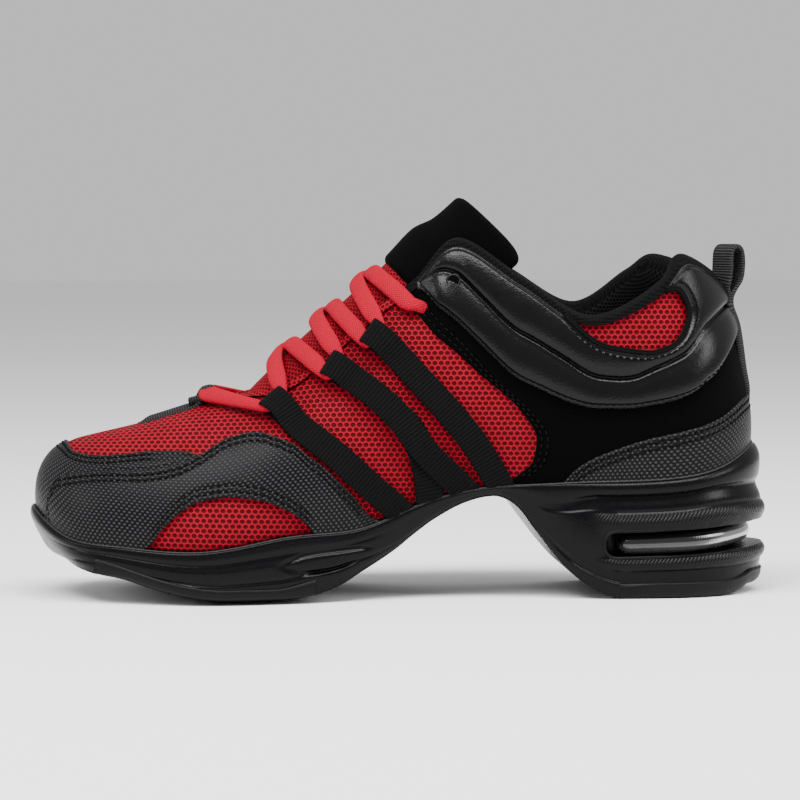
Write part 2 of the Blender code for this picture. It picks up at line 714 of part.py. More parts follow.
def frame_along(path, normals):
    """Unit directions along a path, out from it and across it at each point."""
    path, normals = np.asarray(path), np.asarray(normals)
    steps = np.diff(path, axis=0)
    steps /= np.linalg.norm(steps, axis=1, keepdims=True)
    along = np.vstack([steps[:1], steps[:-1] + steps[1:], steps[-1:]])
    along /= np.linalg.norm(along, axis=1, keepdims=True)
    across = np.cross(along, normals)
    across /= np.linalg.norm(across, axis=1, keepdims=True)
    return along, np.cross(across, along), across


def ribbon_sections(path, normals, width, thick):
    along, out, across = frame_along(path, normals)
    sections = []
    for i, spot in enumerate(path):
        wide, deep = across[i] * width / 2, out[i] * thick / 2
        sections.append([spot - wide - deep, spot + wide - deep, spot + wide + deep, spot - wide + deep])
    return sections


def hairpin(spot, along, out):
    """Path and facing of a folded lace loop that goes on from the end of a strap."""
    path, normals = [], []
    centre = spot + along * LOOP_AHEAD + out * LOOP_RADIUS
    for angle in np.radians([0, 36, 72, 108, 144, 180]):
        turn = along * math.sin(angle) - out * math.cos(angle)
        path.append(centre + turn * LOOP_RADIUS)
        normals.append(-turn)
    for part in (0.45, 0.8, 1.0):
        path.append(centre + out * LOOP_RADIUS - along * LOOP_BACK * part)
        normals.append(-out)
    return path, normals


def strap_path(strap, side, steps):
    """Middle line of a strap on the upper, from the sole up, with its facing."""
    spots = along_marks(strap.marks[::-1], np.linspace(0, 1, steps))
    rows = spots[:, 0] if side == "lateral" else ROWS - spots[:, 0]
    rise = np.clip((spots[:, 1] - OVER_FROM) / OVER_SPAN, 0, 1)
    lift = STRAP_LIFT + STRAP_THICK / 2 + strap.over * rise
    out = facing(rows, spots[:, 1])
    return wall(rows, spots[:, 1]) + out * lift[:, None], out


def build_strap(make, strap, side):
    path, normals = strap_path(strap, side, STRAP_STEPS)
    if strap is not STRAP_LEG:
        along, out, _ = frame_along(path, normals)
        fold, fold_normals = hairpin(path[-1], along[-1], out[-1])
        path = np.vstack([path, fold])
        normals = np.vstack([normals, fold_normals])
    sections = ribbon_sections(path, normals, STRAP_WIDTH, STRAP_THICK)
    sections[0] = cut_along_sole(sections[0], path[1] - path[0], strap.marks[-1], side)
    return loft(make, strap.name + "_" + side, sections)


def cut_along_sole(section, along, mark, side):
    """Slide the corners of a strap's end along it, so that the end lies along the edge of the sole."""
    row = mark.row if side == "lateral" else ROWS - mark.row
    edge = wall(row + 0.05, mark.share) - wall(row - 0.05, mark.share)
    middle = np.mean(section, axis=0)
    out = facing(row, mark.share)
    square = np.cross(edge, out)
    return [corner - along * np.dot(corner - middle, square) / np.dot(along, square)
            for corner in section]


def boolean(thing, tool, operation):
    change = thing.modifiers.new(operation.title(), "BOOLEAN")
    change.object = tool
    change.operation = operation
    change.solver = "EXACT"


def cut_out(thing, tool):
    boolean(thing, tool, "DIFFERENCE")


def tunnel(strap, side):
    """Middle of a strap's lace loop, with the way of the lace through it and its facing."""
    path, normals = strap_path(strap, side, STRAP_STEPS)
    along, out, across = frame_along(path, normals)
    middle = path[-1] + out[-1] * LOOP_RADIUS - along[-1] * LACE_BACK
    way = across[-1] if across[-1][0] > 0 else -across[-1]
    return middle, way, out[-1]


def lace_half(side, over):
    """Path and facing of half the lace, from the vamp loop to where it goes under the collar panel."""
    other = {"lateral": "medial", "medial": "lateral"}
    path, normals = [], []
    for strap, crossing in zip(STRAPS, LACE_CROSSINGS):
        middle, way, out = tunnel(strap, side)
        for step in (-LACE_REACH, -STRAP_WIDTH / 2, STRAP_WIDTH / 2, LACE_REACH):
            path.append(middle + way * step)
            normals.append(out)
        sign = -1 if side == "lateral" else 1
        for hump in HUMPS:
            station = crossing - LACE_SLANT * hump.across
            base = tongue_point(station, sign * hump.across, 0.0)
            out = base - tongue_point(station, sign * hump.across, 1.0)
            path.append(base + out * (LACE_LIFT + (LACE_THICK + 2 * GAP) * hump.share * over))
            normals.append(out)
        side = other[side]
        over = 1 - over
    for mark in LACE_ENDS:
        row = mark.row if side == "lateral" else ROWS - mark.row
        path.append(skin(row, mark.share, LIFT + OVERLAY + 2 * GAP + LACE_THICK / 2))
        normals.append(facing(row, mark.share))
    return path, normals


def build_lace(make):
    """Criss-cross lace in one piece, led through the vamp and strap loops as far as the collar panels."""
    medial, medial_normals = lace_half("medial", 0)
    lateral, lateral_normals = lace_half("lateral", 1)
    middle, way, up = vamp_tunnel()
    way = way * np.sign(way[1])
    through = [middle + way * step for step in (LACE_REACH, STRAP_WIDTH / 2, -STRAP_WIDTH / 2, -LACE_REACH)]
    path = np.array(medial[::-1] + through + lateral)
    normals = np.array(medial_normals[::-1] + [up] * len(through) + lateral_normals)
    along, out, across = frame_along(path, normals)
    angles = np.radians(np.arange(30, 390, 60))
    sections = []
    for i, spot in enumerate(path):
        sections.append([
            spot + across[i] * LACE_WIDTH / 2 * math.cos(a) + out[i] * LACE_THICK / 2 * math.sin(a)
            for a in angles
        ])
    return loft(make, "lace", sections)


def vamp_path():
    """Middle line of the vamp strip on the ridge, with its facing."""
    rows = np.linspace(*VAMP_STRIP_ROWS, 6)
    path = top_edge(rows)
    slope = np.gradient(path, axis=0)
    slope /= np.linalg.norm(slope, axis=1, keepdims=True)
    out = np.cross(slope, [0.0, -1.0, 0.0])
    out *= np.sign(out[:, 2:])
    return path + out * (VAMP_STRIP_LIFT + STRAP_THICK / 2), out


def vamp_tunnel():
    path, normals = vamp_path()
    along, out, across = frame_along(path, normals)
    return path[-1] + out[-1] * LOOP_RADIUS - along[-1] * LACE_BACK, across[-1], out[-1]


def build_vamp_strip(make):
    path, normals = vamp_path()
    along, out, _ = frame_along(path, normals)
    fold, fold_normals = hairpin(path[-1], along[-1], out[-1])
    path = np.vstack([path, fold])
    normals = np.vstack([normals, fold_normals])
    return loft(make, "vamp_strip", ribbon_sections(path, normals, VAMP_STRIP_WIDTH, STRAP_THICK))


def build_back_strip(make):
    """Webbing up the back of the heel that goes on into the pull loop."""
    shares = np.linspace(*BACK_STRIP, 8)
    lift = LIFT + OVERLAY + GAP + STRIP_THICK / 2
    path = skin(0.0 * shares, shares, lift)
    loop = [np.array([p.x, path[0][1], p.z]) for p in PULL_LOOP]
    path = np.vstack([path, loop])
    slopes = np.gradient(path, axis=0)
    normals = np.stack([slopes[:, 2], 0 * slopes[:, 0], -slopes[:, 0]], -1)
    return loft(make, "back_strip", ribbon_sections(path, normals, STRIP_WIDTH, STRIP_THICK))


def tube_along(name, path, radius, sides, material, group, parent):
    """Round tube along a path, as a curve with closed ends."""
    curve = bpy.data.curves.new(name, "CURVE")
    curve.dimensions = "3D"
    curve.bevel_depth = radius * MM
    curve.bevel_resolution = sides
    curve.use_fill_caps = True
    spline = curve.splines.new("POLY")
    spline.points.add(len(path) - 1)
    for point, spot in zip(spline.points, path):
        point.co = (*[float(c) * MM for c in spot], 1.0)
    curve.materials.append(material)
    tube = bpy.data.objects.new(name, curve)
    group.objects.link(tube)
    tube.parent = parent
    return tube


def binding_path():
    """Middle line of the collar binding, just over the edge of the upper."""
    side = columns_of(0, BINDING_ROW)
    rows = np.concatenate([-side[:0:-1], side])
    top = top_edge(rows)
    under = np.full(len(rows), BINDING_UNDER)
    rise = top - wall(rows, under)
    rise /= np.linalg.norm(rise, axis=1, keepdims=True)
    return top + rise * BINDING_LIFT - facing(rows, under) * WALL / 2


def heel_line(row, offset, height):
    """Point beside the heel at some offset out from the foot of the wall."""
    spot = FOOT(row)[0] - inward(row) * offset
    return np.array([spot[0], spot[1], height])


WINDOW_Z = monotone([0.0, 1.6, WINDOW_ROW], [WINDOW_BACK_Z, WINDOW_SIDE_Z, WINDOW_SIDE_Z - 0.6])


def build_window(cut):
    """Cutter for the heel window: a slot with round ends, led round the back of the heel."""
    near = np.concatenate([WINDOW_ROW - np.array(WINDOW_END) / WINDOW_ROW_LENGTH, WINDOW_RUN])
    sections = []
    for row in np.concatenate([near, ROWS - near[-2::-1]]):
        beside = side_row(row)
        reach = min((WINDOW_ROW - beside) * WINDOW_ROW_LENGTH, WINDOW_HALF)
        half = math.sqrt(WINDOW_HALF ** 2 - (WINDOW_HALF - reach) ** 2)
        middle = float(WINDOW_Z(beside))
        sections.append([
            heel_line(row, -WINDOW_DEEP, middle - half), heel_line(row, WINDOW_OUT, middle - half),
            heel_line(row, WINDOW_OUT, middle + half), heel_line(row, -WINDOW_DEEP, middle + half),
        ])
    return loft(cut, "heel_window", sections)


def tube_path():
    rows = np.linspace(-TUBE_ROW, TUBE_ROW, 19)
    heights = WINDOW_Z(np.abs(rows)) - WINDOW_HALF + GAP + TUBE_RADIUS
    return [heel_line(row, -TUBE_INSET, height) for row, height in zip(rows, heights)]


def build_grooves(pad, cutters):
    """Tread grooves across a pad, cut from below."""
    for k, x in enumerate(GROOVES[pad.name]):
        bpy.ops.mesh.primitive_cube_add(size=1.0)
        groove = bpy.context.object
        groove.name = pad.name + "_groove_" + str(k + 1)
        for group in list(groove.users_collection):
            group.objects.unlink(groove)
        cutters.objects.link(groove)
        depth = float(UNDER_Z(x * ALONG)) + GROOVE_DEEP
        groove.scale = (GROOVE_WIDTH * MM, 0.2, 0.02)
        groove.location = (x * ALONG * MM, 0.0, depth * MM - 0.01)
        hide(groove)
        cut_out(pad, groove)


def hide(tool):
    tool.hide_render = True
    tool.display_type = "WIRE"


def build_eyelet(side, things, cutters, parts, parent, material):
    """Eyelet ring on the collar panel, with the hole under it."""
    row = EYELET.row if side == "lateral" else ROWS - EYELET.row
    out = Vector(facing(row, EYELET.share))
    turn = Vector((0, 0, 1)).rotation_difference(out)
    seat = Vector(skin(row, EYELET.share, LIFT + OVERLAY + GAP + EYELET_WIRE)) * MM
    bpy.ops.mesh.primitive_torus_add(
        major_radius=EYELET_RADIUS * MM, minor_radius=EYELET_WIRE * MM, major_segments=14, minor_segments=5,
        location=seat, rotation=turn.to_euler(),
    )
    ring = bpy.context.object
    ring.name = "eyelet_" + side
    ring.data.materials.append(material)
    bpy.ops.mesh.primitive_cylinder_add(
        radius=EYELET_HOLE * MM, depth=0.02, vertices=12, location=seat, rotation=turn.to_euler(),
    )
    hole = bpy.context.object
    hole.name = "eyelet_hole_" + side
    hide(hole)
    for thing, home in ((ring, parts), (hole, cutters)):
        for group in list(thing.users_collection):
            group.objects.unlink(thing)
        home.objects.link(thing)
    ring.parent = parent
    for thing in things:
        cut_out(thing, hole)


def main():
    for thing in list(bpy.data.objects):
        bpy.data.objects.remove(thing, do_unlink=True)
    parts = collection("dance_shoe")
    cutters = collection("cutters")
    root = bpy.data.objects.new("dance_shoe_root", None)
    parts.objects.link(root)

    rubber = finish("sole_rubber", (0.02, 0.02, 0.023), 0.4)
    tread = finish("tread_rubber", (0.02, 0.02, 0.02), 0.7)
    clear = finish("clear_tube", (0.6, 0.62, 0.65), 0.1)
    mesh_red = finish("red_mesh", (0.45, 0.02, 0.03), 0.8)
    lace_red = finish("red_lace", (0.6, 0.04, 0.05), 0.8)
    board = finish("insole_cloth", (0.02, 0.02, 0.02), 0.9)
    embossed = finish("embossed_leather", (0.03, 0.03, 0.033), 0.5)
    suede = finish("suede", (0.008, 0.008, 0.009), 0.95)
    glossy = finish("glossy_leather", (0.015, 0.015, 0.017), 0.3)
    webbing = finish("webbing", (0.015, 0.015, 0.016), 0.8)
    grey_webbing = finish("grey_webbing", (0.05, 0.05, 0.052), 0.8)
    knit = finish("black_knit", (0.01, 0.01, 0.011), 0.9)
    rim = finish("eyelet_metal", (0.02, 0.02, 0.022), 0.35, 0.6)

    def maker(material):
        return lambda name, points, faces: add(name, points, faces, material, parts, root)

    def cut(name, points, faces):
        tool = add(name, points, faces, rubber, cutters, root)
        hide(tool)
        return tool

    sole = build_sole(maker(rubber))
    cut_out(sole, build_window(cut))
    tube_along("air_unit", tube_path(), TUBE_RADIUS, 1, clear, parts, root)
    for pad in PADS:
        build_grooves(build_pad(maker(tread), pad), cutters)
    upper = build_upper(maker(mesh_red))
    build_insole(maker(board))
    build_tongue(maker(mesh_red), "tongue", 0, TONGUE_SEAM - 0.03, 8)
    build_tongue(maker(knit), "tongue_top", TONGUE_SEAM, len(TONGUE) - 1, 4)

    low, high = edge_curves(HEEL_COUNTER)
    rows = panel_rows(HEEL_COUNTER)
    build_panel(maker(embossed), "heel_counter", [-row for row in rows[:0:-1]] + rows, low, high, 4)
    low, high = edge_curves(TOE_CAP)
    rows = panel_rows(TOE_CAP)
    build_panel(maker(embossed), "toe_cap", rows + [ROWS - row for row in rows[-2::-1]], low, high, 6)
    for side in ("lateral", "medial"):
        low, high = edge_curves(SIDE_BAND)
        build_panel(
            maker(embossed), "side_band_" + side, side_rows(panel_rows(SIDE_BAND), side), low, high, 5,
        )
        low, high = edge_curves(COLLAR_PANEL)
        panel = build_panel(
            maker(glossy), "collar_panel_" + side, side_rows(panel_rows(COLLAR_PANEL), side), low, high, 4,
        )
        build_quarter(maker(suede), side)
        build_eyelet(side, (upper, panel), cutters, parts, root, rim)
        for strap in (*STRAPS, STRAP_LEG):
            build_strap(maker(webbing), strap, side)
    build_vamp_strip(maker(grey_webbing))
    build_back_strip(maker(grey_webbing))
    build_lace(maker(lace_red))
    tube_along("collar_binding", binding_path(), BINDING_RADIUS, 1, knit, parts, root)


main()
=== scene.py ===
"""Looks of the split-sole dance shoe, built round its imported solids.

Toe at -X, heel at +X, outer side at -Y, inner side at +Y, +Z up. Tables and sizes are in millimetres.
A point on the upper is given by a row and a share, as in the part's own source: the row runs round the
shoe from 0 at the back of the heel along the outer side to 13 at the toe tip and on to 26, and the share
runs up the section from 0 at the sole to 1 at the collar, throat or vamp ridge.
"""
import math
from collections import namedtuple

import bmesh
import bpy
import numpy as np
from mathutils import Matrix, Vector


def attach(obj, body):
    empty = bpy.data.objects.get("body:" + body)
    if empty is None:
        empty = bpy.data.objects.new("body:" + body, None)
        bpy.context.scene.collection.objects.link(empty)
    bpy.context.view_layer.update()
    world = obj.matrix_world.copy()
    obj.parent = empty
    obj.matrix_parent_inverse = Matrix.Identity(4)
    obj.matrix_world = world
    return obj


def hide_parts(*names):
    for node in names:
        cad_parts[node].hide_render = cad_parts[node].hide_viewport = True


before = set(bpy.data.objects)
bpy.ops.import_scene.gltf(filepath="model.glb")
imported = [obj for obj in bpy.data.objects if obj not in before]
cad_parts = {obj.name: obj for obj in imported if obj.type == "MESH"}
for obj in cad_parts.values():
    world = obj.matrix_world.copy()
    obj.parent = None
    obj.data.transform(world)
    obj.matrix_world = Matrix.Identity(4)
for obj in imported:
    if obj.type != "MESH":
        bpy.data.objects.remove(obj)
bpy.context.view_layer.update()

MM = 0.001
TOE_ROW = 13
ROWS = 2 * TOE_ROW
VAMP_ROW = 10
VAMP_SLOPE = 0.3
THROAT_END = 9.9
KNIT_END = 6.5
GAP = 0.3
SIDES = ("lateral", "medial")

# foot: where the wall meets the sole, low and flare: length and outward tilt of the curve there,
# top: the upper edge, mid and half giving its middle and half width,
# high and lean: length and inward tilt of the curve there
Section = namedtuple(
    "Section",
    "name foot_x foot_lat foot_med foot_z low flare"
    " top_x top_x_med top_mid top_half top_z top_z_med high lean",
)
SECTIONS = [
    Section("heel_back", 124.0, 1.0, 1.0, 53.0, 20, 5, 112.5, 112.5, 0.5, 0.0, 110.5, 110.5, 15, 14),
    Section("heel_corner", 111.0, -23.5, 24.5, 45.5, 24, 7, 99.0, 95.0, 0.5, 22.0, 117.0, 116.6, 24, 9),
    Section("heel_side", 88.0, -31.0, 31.0, 41.3, 24, 9, 90.0, 84.0, 0.5, 28.0, 108.0, 110.5, 20, 10),
    Section("collar_dip", 64.0, -31.0, 30.0, 40.6, 20, 10, 65.0, 65.0, 0.5, 32.0, 95.6, 99.0, 18, 6),
    Section("collar_front", 46.0, -30.5, 29.0, 39.8, 24, 10, 40.5, 41.0, 0.5, 29.0, 109.5, 112.0, 22, 12),
    Section("top_eyelet", 30.0, -30.0, 28.5, 39.0, 30, 12, 18.5, 18.5, 0.5, 23.5, 123.0, 123.0, 28, 18),
    Section("throat_high", 14.0, -30.5, 28.5, 36.2, 28, 14, 4.5, 4.5, 0.5, 21.5, 110.5, 110.5, 26, 28),
    Section("throat_mid", -1.0, -32.0, 29.5, 31.0, 26, 15, -7.5, -7.5, 0.5, 20.5, 101.5, 101.5, 24, 36),
    Section("throat_low", -19.0, -35.5, 33.0, 24.6, 24, 14, -23.5, -23.5, 0.5, 19.5, 87.5, 87.5, 24, 46),
    Section("throat_base", -42.0, -41.0, 40.0, 22.8, 20, 12, -43.5, -43.5, 0.5, 18.0, 72.5, 72.5, 24, 58),
    Section("throat_front", -70.0, -44.5, 44.5, 18.2, 22, 8, -66.0, -66.0, 1.0, 0.0, 68.0, 68.0, 30, 88),
    Section("vamp", -98.0, -37.0, 40.0, 19.4, 22, 6, -90.0, -90.0, 2.0, 0.0, 60.8, 60.8, 26, 90),
    Section("toe_side", -117.5, -23.0, 27.0, 22.6, 18, 7, -106.0, -106.0, 3.0, 0.0, 57.0, 57.0, 18, 90),
    Section("toe_tip", -128.0, 4.0, 4.0, 31.0, 12, 6, -113.0, -113.0, 3.5, 0.0, 55.3, 55.3, 12, 90),
]
Profile = namedtuple("Profile", "x z")
UNDERSIDE = [
    Profile(-128, 13.6), Profile(-118, 12.4), Profile(-103, 9.1), Profile(-94, 6.2), Profile(-87, 4.0),
    Profile(-80, 2.2), Profile(-72, 0.7), Profile(-64, 0.0), Profile(-46, 0.0), Profile(-35, 2.2),
    Profile(-24, 5.8), Profile(-17, 9.8), Profile(-3.4, 18.0), Profile(3.4, 23.4), Profile(10.3, 28.3),
    Profile(20.7, 33.7), Profile(27.6, 35.6), Profile(31, 35.9), Profile(35, 34.8), Profile(39, 32.0),
    Profile(45, 24.2), Profile(52, 15.3), Profile(58, 8.8), Profile(64, 4.4), Profile(70, 1.4),
    Profile(76, 0.0), Profile(112, 0.0), Profile(117, 0.6), Profile(121, 1.7), Profile(124, 3.0),
]
FOOTBED = [
    Profile(-128, 21.0), Profile(-115, 18.5), Profile(-98, 16.0), Profile(-70, 14.5), Profile(-42, 18.0),
    Profile(-19, 22.0), Profile(-1, 28.0), Profile(14, 33.5), Profile(30, 38.0), Profile(46, 38.2),
    Profile(64, 37.5), Profile(90, 37.0), Profile(124, 37.5),
]
# Rings of the sole's side: share of its height below the top, and offset from the foot of the wall
Ring = namedtuple("Ring", "name back back_out heel heel_out arch arch_out fore fore_out toe toe_out")
RINGS = [
    Ring("lip", 0.00, 2.4, 0.00, 2.2, 0.00, 2.0, 0.00, 2.1, 0.00, 2.4),
    Ring("cup", 0.12, 5.0, 0.05, 3.3, 0.14, 2.4, 0.08, 2.8, 0.15, 3.0),
    Ring("cup_low", 0.24, 4.8, 0.10, 3.3, 0.25, 2.3, 0.16, 2.9, 0.25, 2.6),
    Ring("groove", 0.28, 4.2, 0.135, 2.4, 0.34, 2.0, 0.24, 2.5, 0.33, 2.0),
    Ring("band_low", 0.385, 5.2, 0.24, 2.9, 0.42, 1.8, 0.30, 2.8, 0.41, 1.4),
    Ring("rib_high_top", 0.41, 6.8, 0.265, 4.2, 0.49, 1.7, 0.36, 2.9, 0.48, 0.8),
    Ring("rib_high_low", 0.53, 7.0, 0.35, 4.4, 0.56, 1.5, 0.42, 3.0, 0.55, 0.2),
    Ring("rib_low_top", 0.715, 7.0, 0.66, 4.4, 0.74, 0.9, 0.55, 2.9, 0.76, -1.8),
    Ring("rib_low_low", 0.82, 6.8, 0.77, 4.2, 0.80, 0.6, 0.58, 2.8, 0.83, -2.6),
    Ring("crease", 0.88, 4.9, 0.85, 2.7, 0.86, 0.2, 0.62, 2.4, 0.89, -3.6),
    Ring("foot", 0.91, 5.6, 0.88, 3.6, 0.92, -0.2, 0.68, 2.8, 0.94, -4.6),
    Ring("tread", 1.00, 3.0, 1.00, 2.4, 1.00, -1.0, 1.00, 1.4, 1.00, -6.5),
]
RING_ROWS = {"back": (0.0,), "heel": (1.3, 2.8), "arch": (4.2, 6.8), "fore": (8.4, 11.4), "toe": (12.6, 13.0)}
RING_NAMES = [ring.name for ring in RINGS]
CREASE = RING_NAMES.index("crease")
GROOVE = RING_NAMES.index("groove")
RIB_TOP = RING_NAMES.index("rib_high_top")
RIB_FOOT = RING_NAMES.index("rib_low_low")
RIB_ROUND = 1.4
CUP_ROUND = 0.8
KNURL = (0.1, 0.6)
KNURL_FADE = (3.2, 2.6)
HEEL_FADE = (3.6, 2.4)
RIBS_JOIN = (2.5, 3.0)
SWELL_ROUND = 0.9
SOLE_OVER = 0.1
BED_UNDER = 0.9
# The sole's inner ledge: distances in from the foot of the wall, and heights over the bed and the top
LEDGE_IN = (2.0, 1.6, -1.2)
LEDGE_UP = (1.0, -0.6, 0.15)
SHARP_ANGLE = 38
INSOLE_INSET = 3.2
INSOLE_OVER = 3.4
INSOLE_TURN = 1.6
INSOLE_MIDDLE = 1.0
Pad = namedtuple("Pad", "name first last edge flat tuck")
PADS = [
    Pad("outsole_heel", 0.0, 2.5, 0.8, 0.0, 1.0),
    Pad("outsole_forefoot", 8 + 2 / 3, 11 + 1 / 3, 0.5, 18.0, 0.0),
]
GROOVES = [
    [Profile(-45, 13.4), Profile(-35, 10.9), Profile(-26, 11.6), Profile(-16, 14.4)],
    [Profile(-45, 13.4), Profile(-36, 16.6), Profile(-26, 17.9), Profile(-10, 19.0)],
]
GROOVE_DEPTH = 0.9
GROOVE_WIDTH = 0.8
GROOVE_FADE = 6.0
PAD_THICK = 5.5
PAD_GAP = 0.12
PAD_REACH = 0.06
PAD_FADE = 0.5
PAD_ROUND = (1.0, 0.8, 0.6, 0.42, 0.26, 0.14, 0.05, 0.0)
PAD_SIDE = 9
PAD_UNDER = 13
PAD_EDGE = 0.12
PAD_SHELF = 0.8
PAD_OPEN = 9.0
PAD_PAST = 0.03
PAD_PAIR = (0.025, 0.045)
CUT_DEEP = 8.0
TREAD_PITCH = 6.0
TREAD_LEAN = 0.35
TREAD_DEPTH = 1.3
TREAD_EDGE = (0.9, 0.5)

# Tongue: a station is a point on its ridge, the section there is part of an ellipse square to the ridge
Station = namedtuple("Station", "name x z slope half depth sweep")
TONGUE = [
    Station("under_vamp", -74.0, 58.0, 26, 18.0, 20.0, 64),
    Station("throat_front", -62.0, 63.6, 34, 20.5, 24.0, 64),
    Station("low", -50.0, 75.2, 42, 22.0, 29.0, 66),
    Station("mid", -35.0, 90.0, 42, 22.5, 31.0, 68),
    Station("high", -19.0, 104.0, 42, 22.5, 31.0, 70),
    Station("seam", -5.0, 116.5, 42, 22.5, 31.0, 72),
    Station("bulge", 6.3, 127.9, 42, 23.0, 34.0, 79),
    Station("notch", 12.6, 130.9, 43, 22.5, 34.0, 80),
    Station("edge", 22.6, 139.6, 44, 22.5, 34.0, 80),
]

# Panels on the upper: lower and upper share at each row of one side
Edge = namedtuple("Edge", "row low high")
HEEL_COUNTER = [
    Edge(0.0, 0.0, 0.28), Edge(0.5, 0.0, 0.27), Edge(1.0, 0.0, 0.24), Edge(1.6, 0.0, 0.23),
    Edge(2.3, 0.0, 0.21), Edge(2.85, 0.0, 0.165), Edge(3.25, 0.0, 0.085), Edge(3.5, 0.0, 0.015),
]
COLLAR_PANEL = [
    Edge(0.0, 0.61, 0.995), Edge(1.05, 0.43, 0.995), Edge(1.12, 0.425, 0.995), Edge(1.2, 0.42, 0.995),
    Edge(1.35, 0.40, 0.995), Edge(1.65, 0.385, 0.995), Edge(2.0, 0.38, 0.995), Edge(2.3, 0.39, 0.995),
    Edge(2.9, 0.455, 0.995), Edge(3.3, 0.475, 0.995), Edge(3.6, 0.48, 0.995), Edge(4.2, 0.495, 0.995),
    Edge(4.85, 0.59, 0.995), Edge(5.5, 0.77, 0.995), Edge(6.0, 0.95, 0.995),
]
SIDE_BAND = [
    Edge(7.5, 0.0, 0.02), Edge(8.1, 0.0, 0.21), Edge(8.6, 0.0, 0.42), Edge(8.7, 0.05, 0.46),
    Edge(8.97, 0.15, 0.58), Edge(9.4, 0.245, 0.65), Edge(9.75, 0.27, 0.60), Edge(10.05, 0.26, 0.51),
    Edge(10.3, 0.20, 0.46), Edge(10.5, 0.11, 0.445), Edge(10.65, 0.02, 0.44), Edge(10.75, 0.0, 0.44),
    Edge(11.6, 0.0, 0.46), Edge(12.1, 0.0, 0.42), Edge(12.3, 0.0, 0.25), Edge(12.42, 0.0, 0.04),
]
TOE_CAP = [
    Edge(10.0, 0.46, 0.50), Edge(10.25, 0.42, 0.545), Edge(10.75, 0.39, 0.58), Edge(11.2, 0.395, 0.585),
    Edge(11.6, 0.40, 0.625), Edge(12.0, 0.34, 0.69), Edge(12.2, 0.17, 0.74), Edge(12.3, 0.03, 0.765),
    Edge(12.36, 0.0, 0.78), Edge(13.0, 0.0, 0.865),
]
# The suede quarter between a back and a front row at each share, its back edge under the collar panel
Sweep = namedtuple("Sweep", "share back front")
QUARTER = [
    Sweep(0.0, 0.0, 4.78), Sweep(0.03, 0.0, 4.55), Sweep(0.12, 0.0, 4.10), Sweep(0.24, 0.0, 4.0),
    Sweep(0.35, 0.0, 4.28), Sweep(0.46, 0.0, 4.98), Sweep(0.63, 0.0, 5.56), Sweep(0.66, 4.2, 5.65),
    Sweep(0.85, 5.3, 6.1), Sweep(0.985, 5.9, 6.52),
]

# Webbing straps from the sole to a lace loop at the throat, marked from the top down
Mark = namedtuple("Mark", "row share")
Strap = namedtuple("Strap", "name over marks")
STRAPS = [
    Strap("strap_1", 0.0, [
        Mark(9.22, 0.925), Mark(8.88, 0.70), Mark(8.36, 0.44), Mark(7.72, 0.20), Mark(7.1, 0.012),
    ]),
    Strap("strap_2", 1.5, [
        Mark(8.28, 0.955), Mark(7.80, 0.73), Mark(7.1, 0.46), Mark(6.45, 0.22), Mark(5.62, 0.012),
    ]),
    Strap("strap_3", 0.0, [
        Mark(7.50, 0.965), Mark(6.84, 0.71), Mark(6.0, 0.43), Mark(5.4, 0.21), Mark(4.85, 0.012),
    ]),
]
STRAP_LEG = Strap("strap_2_leg", 0.0, [
    Mark(7.1, 0.46), Mark(6.72, 0.33), Mark(6.52, 0.18), Mark(6.42, 0.012),
])
ROW_PITCH = 18.0
SHARE_PITCH = 80.0
STRAP_WIDTH = 9.6
STRAP_THICK = 1.3
STRAP_LIFT = 0.9
OVER_FROM = 0.02
OVER_SPAN = 0.25
STRAP_SHORT = 6.0
STRAP_SKEW = 0.05
LOOP_CLIMB = 14.0
LOOP_LEVEL = 1.0
VAMP_CLIMB = (7.0, 1.5)
VAMP_SINK = 5.0
LOOP_RADIUS = 2.2
LOOP_BACK = 8.0

LACE_WIDTH = 6.6
LACE_THICK = 2.9
LACE_LOOP_WIDTH = 4.4
LACE_LOOP_THICK = 2.7
LACE_LIFT = 1.7
LACE_MOUTH = 3.6
LACE_OVER = LACE_THICK * 0.8
LACE_STEP = 0.9
VAMP_STEPS = (8.0, 4.2, -4.2, -8.0)
VAMP_LOOSE = [0.9, 0.0, 0.0, 0.9]
# Where the lace crosses the tongue's ridge, on the way out from the outer side and on the way back to it
Crossing = namedtuple("Crossing", "out back")
LACE_CROSSINGS = [Crossing(2.53, 2.80), Crossing(3.42, 3.74), Crossing(4.35, 4.65)]
RIDGE_OUT = 0.5
RIDGE_BACK = -0.1
# Part of the way between a loop and the ridge, with how far the lace bulges there and rides over its
# other half
Bulge = namedtuple("Bulge", "part out over")
BULGES = [Bulge(0.3, 2.2, 0.0), Bulge(0.65, 2.4, 1.0)]
Tilt = namedtuple("Tilt", "up side")
LACE_TILT = Tilt(0.5, 0.87)
LaceEnd = namedtuple("LaceEnd", "row share lift loose")
LACE_ENDS = [LaceEnd(6.28, 0.918, 2.4, 0.7), LaceEnd(6.04, 0.876, 2.1, 0.0), LaceEnd(5.86, 0.843, -0.6, 0.0)]

